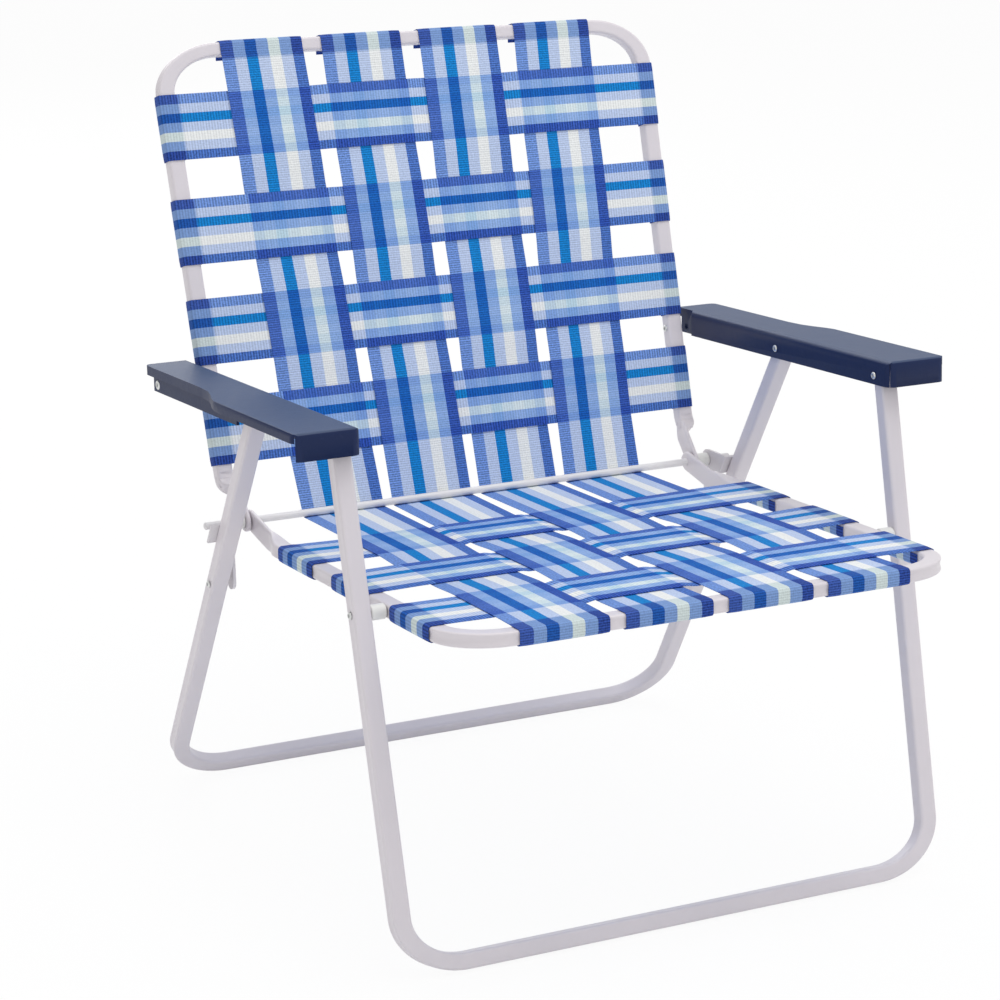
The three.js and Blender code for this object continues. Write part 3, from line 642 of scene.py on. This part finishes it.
def joined(piece, *others):
    """The union of closed pieces, as one closed piece."""
    for other in others:
        union = piece.modifiers.new("union", "BOOLEAN")
        union.operation = "UNION"
        union.solver = "EXACT"
        union.object = other
        made_plain(piece)
        bpy.data.objects.remove(other)
    return piece


def soften(piece, width):
    """Rounds a piece's sharp edges for good."""
    edge = piece.modifiers.new("soften", "BEVEL")
    edge.width = width * mm
    edge.segments = round_segments
    edge.limit_method = "ANGLE"
    edge.angle_limit = math.radians(round_from)
    edge.harden_normals = False
    made_plain(piece)
    smooth_under(piece.data, round_smooth)
    return piece


def hinge_link(side, sign):
    lean = math.atan2(link_pivot.y - arm_rear_pivot.y, arm_rear_pivot.z - link_pivot.z)

    def beside_leg(up, behind):
        return (
            link_pivot.y - up * math.sin(lean) + behind * math.cos(lean),
            link_pivot.z + up * math.cos(lean) + behind * math.sin(lean),
        )

    span = math.atan2(axle.z - link_pivot.z, axle.y - link_pivot.y)
    tangent = math.acos((link_foot - link_head) / (axle - link_pivot).length)
    cheek = []
    for pivot, radius, start, sweep in (
            (link_pivot, link_foot, span + tangent, 2 * math.pi - 2 * tangent),
            (axle, link_head, span - tangent, 2 * tangent)):
        for k in range(cheek_steps + 1):
            edge = round_point(pivot, 0, radius, start + sweep * k / cheek_steps)
            cheek.append((edge.y, edge.z))
    front = leg_deep + link_gap
    rear = front + tab_thick
    corners = ((tab_low, front), (tab_low, rear), (tab_high, rear), (tab_high, front))
    tab = [beside_leg(*corner) for corner in corners]
    root = tab[:2] + [(axle.y, axle.z - link_head), (axle.y, axle.z + link_head)] + tab[2:]
    inner, outer = sign * link_inner, sign * (link_inner + link_plate)
    whole = joined(
        plate(f"link_{side}", cheek, inner, outer),
        plate("root", root, inner, outer),
        plate("tab", tab, inner, sign * tab_outer),
    )
    return soften(whole, link_round)


link_coat = powder_coat("white_link_coat", link_white, paint_shade)
for side, sign in sides:
    dress(hinge_link(side, sign), link_coat, "link_paint", f"link_{side}_body", f"hinge_link_{side}")

# Rivets: bright steel heads with a sunk middle, painted dark there as a painted shade in the hollow,
# each seated on the face of what it holds; a bigger one fills the recess at the rear of each armrest.
# One tree of geometry nodes makes them all.
head_radius, recess_head_radius = 3.1, 4.3
head_height = 1.8
head_sides, head_rings = 28, 18
bowl_share, bowl_depth = 0.6, 0.7
head_merge = 0.00002
recess_reach = 5.0
bright_steel, dull_steel = (0.80, 0.81, 0.80, 1), (0.60, 0.61, 0.60, 1)
# Painted shade: the dark grey, and how far it covers the sunk middle of each head
bowl_painted_shade, bowl_painted_shade_share = (0.12, 0.13, 0.14, 1), 0.85


def bright_metal():
    metal = Finish("bright_rivet_metal")
    place = metal.object_place()
    smear = metal.noise(place, Scale=900.0, Detail=3.0)
    patch = metal.noise(place, Scale=180.0, Detail=2.0)
    sunk = metal.node("ShaderNodeAttribute", {"attribute_name": "sunk"}, out="Fac")
    colour = metal.mix(patch, bright_steel, dull_steel)
    # Painted shade: the sunk middle of each head is painted dark grey
    colour = metal.mix(bowl_painted_shade_share * sunk, colour, bowl_painted_shade)
    bump = metal.bump(smear, Strength=0.15, Distance=0.0002)
    return metal.surface(Base_Color=colour, Metallic=1.0, Roughness=0.22 + 0.2 * patch, Normal=bump)


def rivet_tree(material):
    """Sets a head of this radius and height on every point, turned along the point's 'facing'."""
    tree = bpy.data.node_groups.new("rivet_rows", "GeometryNodeTree")
    for name, way, kind in (
            ("Places", "INPUT", "NodeSocketGeometry"), ("Radius", "INPUT", "NodeSocketFloat"),
            ("Height", "INPUT", "NodeSocketFloat"), ("Rivets", "OUTPUT", "NodeSocketGeometry")):
        tree.interface.new_socket(name, in_out=way, socket_type=kind)
    head = Nodes(tree)
    places, radius, height = (
        head.node("NodeGroupInput", {}, out=name) for name in ("Places", "Radius", "Height"))
    dome = head.node("GeometryNodeMeshUVSphere", {}, head_sides, head_rings, radius)
    place = head.node("GeometryNodeInputPosition", {})
    x, y, z = (head.part(place, axis) for axis in "XYZ")
    beside = head.node("ShaderNodeCombineXYZ", {}, x, y)
    from_middle = head.node("ShaderNodeVectorMath", {"operation": "LENGTH"}, beside, out="Value")
    bowl = (1.0 - (from_middle / (radius * bowl_share)) ** 2.0).math("MAXIMUM", 0.0) * (z > 0.0)
    rise = z.math("MAXIMUM", 0.0) * (height / radius) - bowl * height * bowl_depth
    # The bowl is stored as 'sunk', which is where the metal puts its painted shade
    mark = head.node(
        "GeometryNodeStoreNamedAttribute", {"data_type": "FLOAT", "domain": "POINT"}, dome,
        Name="sunk", Value=bowl)
    pressed = head.node(
        "GeometryNodeSetPosition", {}, mark, Position=head.node("ShaderNodeCombineXYZ", {}, x, y, rise))
    whole = head.node("GeometryNodeMergeByDistance", {}, pressed, Distance=head_merge)
    facing = head.node(
        "GeometryNodeInputNamedAttribute", {"data_type": "FLOAT_VECTOR"}, "facing", out="Attribute")
    turn = head.node("FunctionNodeAlignRotationToVector", {"axis": "Z"}, Vector=facing, out="Rotation")
    spots = head.node("GeometryNodeInstanceOnPoints", {}, places, Instance=whole, Rotation=turn)
    real = head.node("GeometryNodeRealizeInstances", {}, spots)
    finished = head.node("GeometryNodeSetMaterial", {}, real, Material=material)
    head.node("NodeGroupOutput", {}, head.node("GeometryNodeSetShadeSmooth", {}, finished))
    return tree


rivet_metal = bright_metal()
rivet_rows = rivet_tree(rivet_metal)


def rivet_heads(name, places, radius, height):
    """Domed heads at (point in millimetres, direction) places, as one mesh."""
    mesh = bpy.data.meshes.new(name)
    mesh.from_pydata([tuple(p * mm) for p, _ in places], [], [])
    facing = mesh.attributes.new("facing", "FLOAT_VECTOR", "POINT")
    facing.data.foreach_set("vector", [c for _, way in places for c in way])
    rows = placed(name, mesh)
    maker = rows.modifiers.new("rivets", "NODES")
    maker.node_group = rivet_rows
    sizes = {"Radius": radius * mm, "Height": height * mm}
    for item in rivet_rows.interface.items_tree:
        if item.name in sizes:
            maker[item.identifier] = sizes[item.name]
    made_plain(rows)
    return rows


def head_face(node, sign, outer):
    """The x of the face that a rivet's head sits on: its node's end, less the head's height."""
    low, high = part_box(node)
    if (sign > 0) == outer:
        return high.x * 1000 - head_height
    return low.x * 1000 + head_height


# The body that carries each rivet, its place, and which of its ends have a head: True is the outer
rivet_kinds = {
    "leg_seat_rivet": ("seat", seat_pivot, (False, True)),
    "arm_front_rivet": ("armrest_{}_body", arm_front_pivot, (False, True)),
    "arm_rear_rivet": ("armrest_{}_body", arm_rear_pivot, (False, True)),
    "back_rivet": ("back", arm_back_pivot, (False,)),
    "back_pin": ("armrest_{}_body", arm_back_pivot, (True,)),
    "leg_link_rivet": ("rear_legs", link_pivot, (True,)),
    "link_stud": ("link_{}_body", link_pivot, (False,)),
}
for side, sign in sides:
    for kind, (body, pivot, ends) in rivet_kinds.items():
        node = f"{kind}_{side}"
        places = []
        for outer in ends:
            way = Vector((sign if outer else -sign, 0, 0))
            face = head_face(node, sign, outer) + (sign * recess_reach if kind == "back_pin" else 0)
            places.append((at_x(pivot, face), way))
        radius = recess_head_radius if kind == "back_pin" else head_radius
        heads = rivet_heads(f"{node}_heads", places, radius, head_height)
        dress(heads, rivet_metal, "rivet_metal", body.format(side), node)

# Armrests: hollow shells of dark blue moulded plastic with a fine satin grain. Faces that look up are
# painted paler, a painted sheen of the bright sky on top. They stay as their solids are, but the
# outer edge steps in a little further forward.
kink_front, kink_rear = 13.9, 78.6
kink_front_margin, kink_rear_margin = 3, 1
kink_outside = 278
kink_shift, kink_least = 20.0, 0.2
arm_slope = 0.0744
arm_merge = 0.00001
arm_flat, arm_smooth = 0.5, 32
navy_side, navy_side_light = (0.006, 0.016, 0.066, 1), (0.010, 0.022, 0.082, 1)
# Painted sheen: the paler colours for faces that look up
navy_painted_sheen, navy_painted_sheen_pale = (0.037, 0.061, 0.134, 1), (0.058, 0.088, 0.168, 1)
navy_scuffed = (0.05, 0.065, 0.14, 1)


def moulded_navy():
    navy = Finish("navy_armrest_plastic")
    place = navy.object_place()
    grain = navy.noise(place, Scale=1400.0, Detail=2.0)
    flow = navy.noise(place, Scale=22.0, Detail=5.0, Roughness=0.6)
    scuff = navy.noise(place, Scale=160.0, Detail=6.0, Roughness=0.7)
    worn = navy.rising(scuff, 0.58, 0.8, most=0.3)
    facing = navy.node("ShaderNodeTexCoord", {}, out="Normal")
    upward = navy.part(facing, "Z")
    body = navy.mix(flow, navy_side, navy_side_light)
    painted_sheen_top = navy.mix(flow, navy_painted_sheen, navy_painted_sheen_pale)
    # Painted sheen: faces that look up take the paler colours
    colour = navy.mix(navy.rising(upward, 0.55, 0.98), body, painted_sheen_top)
    colour = navy.mix(worn, colour, navy_scuffed)
    bump = navy.bump(grain + 2.5 * scuff, Strength=0.2, Distance=0.0004)
    rough = 0.38 + 0.14 * flow + 0.15 * worn
    return navy.surface(Base_Color=colour, Roughness=rough, Normal=bump, Specular_IOR_Level=0.22)


navy_plastic = moulded_navy()
for side in ("left", "right"):
    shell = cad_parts[f"armrest_{side}"].copy()
    shell.data = shell.data.copy()
    shell.parent = None
    for key in list(shell.keys()):
        del shell[key]
    shell.name = f"armrest_shell_{side}"
    bpy.context.collection.objects.link(shell)
    skin = bmesh.new()
    skin.from_mesh(shell.data)
    bmesh.ops.remove_doubles(skin, verts=skin.verts, dist=arm_merge)
    bmesh.ops.dissolve_limit(
        skin, angle_limit=math.radians(arm_flat), verts=skin.verts, edges=skin.edges)
    for corner in skin.verts:
        x, y = abs(corner.co.x) * 1000, corner.co.y * 1000
        if x > kink_outside and kink_front - kink_front_margin < y < kink_rear + kink_rear_margin:
            share = min(1, max(0, (kink_rear - y) / (kink_rear - kink_front)))
            move = kink_shift * (kink_least + (1 - kink_least) * share) * mm
            corner.co += Vector((0, -move * math.cos(arm_slope), move * math.sin(arm_slope)))
    skin.to_mesh(shell.data)
    skin.free()
    smooth_under(shell.data, arm_smooth)
    dress(shell, navy_plastic, "armrest_plastic", f"armrest_{side}_body", f"armrest_{side}")

# Webbing: flat woven straps of ribbed blue, pale blue and cream yarn. The real yarn is a little
# see-through against the light; here the straps are opaque and that light is painted: paler where
# nothing is behind, deeper over a tube or another strap, as painted light and shade. The ribs carry
# painted shade too. Seven cross straps wrap round the side tubes, and four long straps run from the
# top rail behind the rod to the front rail.
long_wide, long_count = 76.0, 4
back_cross_wide, seat_cross_wide = 56.0, 67.6
strap_thick, skin_gap = 1.0, 0.2
weave_rise, tube_weave = 0.65, 0.3
back_bow, seat_sag = 8.0, 3.0
row_margin = 1.0

# The cross straps' places down from the top rail and forward from the rod, and how far apart the
# long straps are at the top rail, at the rod and at the front rail
back_rows = (64.1, 153.7, 239.2, 324.7)
seat_rows = (120.4, 226.8, 334.7)
pitch_top, pitch_rod, pitch_front = 94.1, 84.8, 89.9

back_layer = back_deep + skin_gap + strap_thick / 2
seat_layer = seat_deep + skin_gap + strap_thick / 2
rib_pitch, cross_rib_pitch = 2.0, 2.6
strap_step, strap_close, strap_columns = 3.0, 0.3, 13
strap_smooth = 60
selvedge = 0.55
edge_share = 0.15
wrap_steps = 5
tail_drop, tail_out = 2.3, 0.6
rod_steps, back_run_steps, seat_run_steps = 8, 10, 24
rod_cover = 0.7

# Painted colours of the stripes: lit from behind, and in painted shade over another strap and over
# a tube; the painted see-through tint that each gives a strap in front of it; and how strong the
# painted shade of its ribs is
painted_backlight = {
    "edge": (0.140, 0.250, 0.565), "pale": (0.435, 0.520, 0.705), "sky": (0.006, 0.185, 0.510),
    "cream": (0.725, 0.742, 0.735), "navy": (0.062, 0.145, 0.440)}
painted_shade_over_strap = {
    "edge": (0.051, 0.120, 0.422), "pale": (0.222, 0.358, 0.645), "sky": (0.008, 0.104, 0.408),
    "cream": (0.530, 0.640, 0.695), "navy": (0.028, 0.079, 0.358)}
painted_shade_over_tube = {
    "edge": (0.035, 0.079, 0.315), "pale": (0.172, 0.280, 0.530), "sky": (0.011, 0.076, 0.325),
    "cream": (0.540, 0.615, 0.610), "navy": (0.021, 0.055, 0.263)}
# Painted see-through: how the stripes of a strap behind tint one in front
tint = {
    "edge": (0.88, 0.91, 0.97), "pale": (1.02, 1.01, 1.0), "sky": (0.84, 0.93, 0.98),
    "cream": (1.14, 1.08, 1.03), "navy": (0.82, 0.87, 0.96)}
# How strong the painted shade in the rib grooves is on each stripe
painted_rib_shade = {
    "edge": (0.62,) * 3, "pale": (0.26,) * 3, "sky": (0.54,) * 3, "cream": (0.17,) * 3,
    "navy": (0.74,) * 3}
stripe_order = ("edge", "pale", "sky", "pale", "cream", "pale", "navy")
stripe_ends = (0.145, 0.29, 0.43, 0.575, 0.715, 0.86)
yarn_gain, yarn_wander = 1.11, 0.012
thread_count = 42


def webbing_cloth():
    cloth = Finish("striped_webbing")

    def stripes(colours, place):
        stops = [(start, (*colours[name], 1)) for start, name in zip((0, *stripe_ends), stripe_order)]
        return cloth.node("ShaderNodeValToRGB", {"stops": stops, "interpolation": "CONSTANT"}, place)

    own = cloth.node("ShaderNodeUVMap", {"uv_map": "strap"})
    along = cloth.part(own, "X")
    across = cloth.part(own, "Y")
    behind = cloth.node("ShaderNodeUVMap", {"uv_map": "behind"})
    cell = cloth.part(behind, "X")
    tube_share = cloth.part(behind, "Y")
    warp = cloth.noise(own, Scale=900.0, Detail=2.0)
    wander = across + (warp - 0.5) * yarn_wander
    other = (cell.math("FRACT") - edge_share) / (1 - 2 * edge_share)
    crossing = (other > 0) * (other < 1)
    over_strap = cloth.node(
        "ShaderNodeVectorMath", {"operation": "MULTIPLY"},
        stripes(painted_shade_over_strap, wander), stripes(tint, other))
    # Painted light and shade: lit from behind, in painted shade where a strap crosses behind, tinted by
    # its stripes, and in painted shade over a tube
    colour = cloth.mix(crossing, stripes(painted_backlight, wander), over_strap)
    colour = cloth.mix(tube_share, colour, stripes(painted_shade_over_tube, wander))
    # Painted shade of the ribs: stronger on the dark stripes
    rib_shade_strength = cloth.part(stripes(painted_rib_shade, wander), "X")
    weave_place = cloth.node("ShaderNodeCombineXYZ", {}, along, across * (long_wide * mm), 0.0)
    fuzz = cloth.noise(weave_place, Scale=620.0, Detail=1.0)
    ribs = (along * (2 * math.pi / (rib_pitch * mm))).math("COSINE")
    rib_pairs = (along * (math.pi / (rib_pitch * mm))).math("COSINE")
    rib = ribs + 0.2 * rib_pairs + 3.6 * (fuzz - 0.5)
    thread = (across * (2 * math.pi * thread_count)).math("COSINE")
    wear = cloth.noise(own, Scale=14.0, Detail=3.0)
    # Painted shade of the ribs and threads, times a random wear tone and an overall gain
    shade = (1.0 + 0.5 * rib_shade_strength * rib + 0.03 * thread) * (0.96 + 0.08 * wear) * yarn_gain
    colour = cloth.node("ShaderNodeVectorMath", {"operation": "SCALE"}, colour, Scale=shade)
    height = 0.35 * rib + 0.12 * thread
    bump = cloth.bump(height, Strength=0.45, Distance=0.0004)
    rough = 0.66 + 0.12 * fuzz
    return cloth.surface(Base_Color=colour, Roughness=rough, Normal=bump, Specular_IOR_Level=0.12)


webbing = webbing_cloth()


def ribbon(name, grid, cells, covered, pitch=rib_pitch):
    """A closed strap about grid[along][across], and its length in metres.

    cells tells where each point is across the strap behind it, and covered how far a tube backs it.
    """
    rows, columns = len(grid), len(grid[0])
    centre = np.array([[tuple(p) for p in row] for row in grid])
    normal = np.cross(np.gradient(centre, axis=0), np.gradient(centre, axis=1))
    normal /= np.linalg.norm(normal, axis=2, keepdims=True)
    edge = np.ones(columns)
    edge[[0, -1]] = selvedge
    half = normal * (strap_thick * edge / 2)[None, :, None]
    steps = np.linalg.norm(np.diff(centre[:, columns // 2], axis=0), axis=1)
    run = np.concatenate([[0], np.cumsum(steps)]) * mm
    points = np.concatenate([(centre + half).reshape(-1, 3), (centre - half).reshape(-1, 3)])
    lower = rows * columns
    faces = []
    for i in range(rows - 1):
        for k in range(columns - 1):
            a, b = i * columns + k, (i + 1) * columns + k
            faces += [(a, b, b + 1, a + 1), (lower + a, lower + a + 1, lower + b + 1, lower + b)]
        for k in (0, columns - 1):
            a, b = i * columns + k, (i + 1) * columns + k
            faces.append((a, lower + a, lower + b, b))
    for i in (0, rows - 1):
        for k in range(columns - 1):
            a = i * columns + k
            faces.append((a, a + 1, lower + a + 1, lower + a))
    strap = mesh_object(name, points, faces, strap_smooth)
    own = strap.data.uv_layers.new(name="strap")
    other = strap.data.uv_layers.new(name="behind")
    for loop in strap.data.loops:
        i, k = divmod(loop.vertex_index % lower, columns)
        own.data[loop.index].uv = (run[i] * rib_pitch / pitch, k / (columns - 1))
        other.data[loop.index].uv = (cells[i][k], covered[i])
    strap.data.uv_layers.active = own
    return strap, float(run[-1])


def wrap_round(wide, deep):
    """The way round a tube, from its face towards the sitter, out and back to its inner face."""
    flat_wide, flat_deep = wide - tube_corner, deep - tube_corner
    radius = tube_corner + skin_gap + strap_thick / 2
    corners = ((flat_wide, flat_deep, 90), (flat_wide, -flat_deep, 0), (-flat_wide, -flat_deep, -90))
    way = []
    for x, y, start in corners:
        for k in range(wrap_steps + 1):
            angle = math.radians(start - 90 * k / wrap_steps)
            way.append((x + radius * math.cos(angle), y + radius * math.sin(angle)))
    return way + [(-flat_wide - radius, 0.0), (-flat_wide - radius, flat_deep)]


def wrap_with_tail(wide, deep):
    """The same way round, but ending in a short tail behind the tube."""
    way = wrap_round(wide, deep)[:2 * wrap_steps + 2]
    low = -deep - skin_gap - strap_thick / 2
    way += [(-wide * share, low) for share in (0.0, 0.5, 1.0)]
    return way + [(-wide - tail_drop, low - tail_out)]


def over(row, column):
    """1 where a long strap passes over a cross strap, and -1 where it passes under."""
    return 1 if (row + column) % 2 == 0 else -1


def column_centre(column, pitch):
    return (column - (long_count - 1) / 2) * pitch


def share_across(x, half):
    return max(0.0, 1 - (x / half) ** 2)


axle_down = (back_rail.y - axle.y) * math.sin(back_lean) + (back_rail.z - axle.z) * math.cos(back_lean)


def back_stand(x, down):
    return back_bow * (down / axle_down) ** 2 * share_across(x, back_half_top)


def seat_stand(x, along):
    return -seat_sag * (1 - along / seat_reach) ** 2 * share_across(x, seat_half)


def back_pitch(down):
    return pitch_top + (pitch_rod - pitch_top) * down / axle_down


def seat_pitch(along):
    return pitch_rod + (pitch_front - pitch_rod) * along / seat_reach


def weave_at(place, knots):
    """Linear runs between (place, weave) knots, eased where the weave changes."""
    for (a, first), (b, second) in zip(knots, knots[1:]):
        if place <= b:
            share = min(1, max(0, (place - a) / (b - a)))
            return first + (second - first) * ease(share)
    return knots[-1][1]


def cell_at(place, edges):
    """A running number whose fraction tells how far across the strap behind a place is."""
    if place <= edges[0][0]:
        return 0.0
    for number, (low, high) in enumerate(edges):
        if place <= high:
            if place >= low:
                return number + edge_share + (1 - 2 * edge_share) * (place - low) / (high - low)
            gap_start = edges[number - 1][1]
            return number - edge_share + 2 * edge_share * (place - gap_start) / (low - gap_start)
    return float(len(edges))


def spaced(start, stop, edges):
    """Even places from start to stop, with both sides of every strap behind among them."""
    extra = [e for pair in edges for e in pair]
    places = list(np.linspace(start, stop, max(2, round(abs(stop - start) / strap_step) + 1)))
    close = strap_step * strap_close
    places = [p for p in places if all(abs(p - e) > close for e in extra) or p in (start, stop)]
    return sorted(places + [e for e in extra if start < e < stop])


def both_sides(centres, width):
    return [(c - width / 2, c + width / 2) for c in centres]


on_back = {
    "place": back_point, "half": back_half, "width": back_cross_wide, "wide": back_wide,
    "layer": back_layer, "wrap": wrap_round(back_wide, back_deep), "stand": back_stand,
    "pitch": back_pitch}
on_seat = {
    "place": seat_point, "half": lambda along: seat_half, "width": seat_cross_wide, "wide": seat_wide,
    "layer": seat_layer, "wrap": wrap_round(seat_wide, seat_deep), "stand": seat_stand,
    "pitch": seat_pitch}


def cross_strap(name, row, centre, on):
    place, tube_half, wide, layer = on["place"], on["half"], on["wide"], on["layer"]
    middle_half = tube_half(centre) - wide
    pitch = on["pitch"](centre)
    edges = both_sides([column_centre(column, pitch) for column in range(long_count)], long_wide)
    slack = (pitch - long_wide) * edge_share
    knots = []
    for column, (low, high) in enumerate(edges):
        knots += [(low - slack, -over(row, column)), (high + slack, -over(row, column))]
    first, last = (-middle_half, knots[0][1] * tube_weave), (middle_half, knots[-1][1] * tube_weave)
    knots = [first, *knots, last]
    downs = [centre + on["width"] * (k / (strap_columns - 1) - 0.5) for k in range(strap_columns)]
    places = spaced(-middle_half, middle_half, edges)
    grid, cells, covered = [], [], []

    def add(points, cell, cover):
        grid.append(points)
        cells.append([cell] * strap_columns)
        covered.append(cover)

    for out, front in reversed(on["wrap"]):
        add([place(-tube_half(d) - out, d, front) for d in downs], 0.0, 1.0)
    add([place(-tube_half(d) + wide - tube_corner, d, layer) for d in downs], 0.0, 1.0)
    for x in places:
        points = []
        for d in downs:
            scaled = x * (tube_half(d) - wide) / middle_half
            front = layer + on["stand"](scaled, d) + weave_at(x, knots) * weave_rise
            points.append(place(scaled, d, front))
        add(points, cell_at(x, edges), float(x in (places[0], places[-1])))
    add([place(tube_half(d) - wide + tube_corner, d, layer) for d in downs], 0.0, 1.0)
    for out, front in on["wrap"]:
        add([place(tube_half(d) + out, d, front) for d in downs], 0.0, 1.0)
    return ribbon(name, grid, cells, covered, cross_rib_pitch)


for part, rows, on in (("back", back_rows, on_back), ("seat", seat_rows, on_seat)):
    for row, centre in enumerate(rows):
        strap, length = cross_strap(f"{part}_cross_webbing_{row + 1}", row, centre, on)
        dress(strap, webbing, "webbing", part, f"{part}_cross_strap_{row + 1}")
        on["width"] * 0.001


def long_knots(edges, column):
    knots = []
    for row, (low, high) in enumerate(edges):
        knots += [(low - row_margin, over(row, column)), (high + row_margin, over(row, column))]
    return knots


rod_layer = rod_radius + skin_gap + strap_thick / 2


def rod_touch(point, turn):
    """Where a straight strap from a point touches the rod, as an angle round it."""
    dy, dz = point.y - axle.y, point.z - axle.z
    return math.atan2(dz, dy) + turn * math.acos(rod_layer / math.hypot(dy, dz))


def long_strap(column):
    back_edges = both_sides(back_rows, back_cross_wide)
    seat_edges = both_sides(seat_rows, seat_cross_wide)
    back_knots, seat_knots = long_knots(back_edges, column), long_knots(seat_edges, column)
    back_knots = [(back_wide, back_knots[0][1] * tube_weave)] + back_knots
    seat_knots = seat_knots + [(seat_reach - seat_wide, seat_knots[-1][1] * tube_weave)]
    first_along = seat_edges[0][0] - row_margin
    downs = spaced(back_wide, back_edges[-1][1] + row_margin, back_edges)
    alongs = spaced(first_along, seat_reach - seat_wide, seat_edges)
    below_rows = float(len(back_rows))

    def on_back_at(offset, down):
        x = column_centre(column, back_pitch(down)) + offset
        weave = weave_at(down, back_knots) * weave_rise
        return back_point(x, down, back_layer + back_stand(x, down) + weave)

    def on_seat_at(offset, along):
        x = column_centre(column, seat_pitch(along)) + offset
        weave = weave_at(along, seat_knots) * weave_rise
        return seat_point(x, along, seat_layer + seat_stand(x, along) + weave)

    lines = []
    for k in range(strap_columns):
        offset = long_wide * (k / (strap_columns - 1) - 0.5)
        top_x = column_centre(column, back_pitch(0)) + offset
        line = [
            (back_point(top_x, -out - top_rail_lift, front), 0.0, 1.0)
            for out, front in reversed(wrap_with_tail(top_rail_high, back_deep))]
        line.append((back_point(top_x, top_rail_high - tube_corner, back_layer), 0.0, 1.0))
        line += [
            (on_back_at(offset, down), cell_at(down, back_edges), float(down == downs[0]))
            for down in downs]
        leave, land = line[-1][0], on_seat_at(offset, first_along)
        rod_x = column_centre(column, back_pitch(axle_down)) + offset
        touch_back, touch_seat = rod_touch(leave, -1), rod_touch(land, 1)
        touch_seat = touch_seat - 2 * math.pi if touch_seat > 0 else touch_seat
        arc = []
        for step in range(rod_steps + 1):
            angle = touch_back + (touch_seat - touch_back) * step / rod_steps
            arc.append(round_point(axle, rod_x, rod_layer, angle))
        line += [
            (leave.lerp(arc[0], step / back_run_steps), below_rows, 0.0)
            for step in range(1, back_run_steps)]
        line += [(p, below_rows, rod_cover) for p in arc]
        line += [
            (arc[-1].lerp(land, step / seat_run_steps), 0.0, 0.0) for step in range(1, seat_run_steps)]
        line += [
            (on_seat_at(offset, along), cell_at(along, seat_edges), float(along == alongs[-1]))
            for along in alongs]
        end_x = column_centre(column, seat_pitch(seat_reach)) + offset
        line.append((seat_point(end_x, seat_reach - seat_wide + tube_corner, seat_layer), 0.0, 1.0))
        line += [
            (seat_point(end_x, seat_reach + out, front), 0.0, 1.0) for out, front in on_seat["wrap"]]
        lines.append(line)
    stations = list(zip(*lines))
    grid = [[point for point, _, _ in row] for row in stations]
    cells = [[cell for _, cell, _ in row] for row in stations]
    return ribbon(f"long_webbing_{column + 1}", grid, cells, [row[0][2] for row in stations])


for column in range(long_count):
    strap, length = long_strap(column)
    strap.data.materials.append(webbing)
    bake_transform(strap)
    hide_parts(f"back_long_strap_{column + 1}", f"seat_long_strap_{column + 1}")

# The studio: a white floor that keeps a soft shadow, and a pale backdrop all round. Broad soft lights
# stand overhead and behind, and weak ones in front and to one side. None of it is part of the chair.
floor_reach = 30.0
floor_colour, floor_glow = (0.94, 0.94, 0.94, 1), 0.93
air_colour, air_light = (0.98, 0.975, 0.98, 1), 0.71
full_white = 1.0
lamp_aim = Vector((0, 0, 0.35))


def seen_directly(nodes):
    """1 for rays from the camera, also by way of a mirror or glass."""
    camera, mirror, glass = (
        nodes.node("ShaderNodeLightPath", {}, out=ray)
        for ray in ("Is Camera Ray", "Is Glossy Ray", "Is Transmission Ray"))
    return camera.math("MAXIMUM", mirror).math("MAXIMUM", glass)


floor_mesh = bpy.data.meshes.new("studio_floor")
corners = [(x * floor_reach, y * floor_reach, 0) for x, y in ((-1, -1), (1, -1), (1, 1), (-1, 1))]
floor_mesh.from_pydata(corners, [], [(0, 1, 2, 3)])
floor = placed("studio_floor", floor_mesh)
floor_white = bpy.data.materials.new("studio_white")
floor_white.use_nodes = True
floor_white.node_tree.nodes.clear()
ground = Nodes(floor_white.node_tree)
matt = ground.node("ShaderNodeBsdfDiffuse", {}, floor_colour)
bright = ground.node("ShaderNodeEmission", {}, Strength=full_white)
both = ground.node("ShaderNodeMixShader", {}, seen_directly(ground) * floor_glow, matt, bright)
ground.node("ShaderNodeOutputMaterial", {}, both)
floor_mesh.materials.append(floor_white)

world = bpy.data.worlds.new("studio")
bpy.context.scene.world = world
world.use_nodes = True
world.node_tree.nodes.clear()
air = Nodes(world.node_tree)
ambient = air.node("ShaderNodeBackground", {}, air_colour, air_light)
backdrop = air.node("ShaderNodeBackground", {}, Strength=full_white)
air.node(
    "ShaderNodeOutputWorld", {},
    air.node("ShaderNodeMixShader", {}, seen_directly(air), ambient, backdrop))


def soft_light(name, place, across, watts):
    lamp = bpy.data.lights.new(name, "AREA")
    lamp.shape = "DISK"
    lamp.size = across
    lamp.energy = watts
    holder = placed(name, lamp)
    holder.location = place
    holder.rotation_mode = "QUATERNION"
    holder.rotation_quaternion = (Vector(place) - lamp_aim).to_track_quat("Z", "Y")


soft_light("overhead", (0.5, -0.4, 3.2), across=2.4, watts=37)
soft_light("front_fill", (-1.0, -3.4, 1.6), across=2.2, watts=5)
soft_light("right_fill", (3.0, -1.2, 1.8), across=2.2, watts=3)
soft_light("rear_fill", (0.4, 3.2, 2.2), across=2.4, watts=30)

bpy.context.scene.view_settings.view_transform = "Standard"
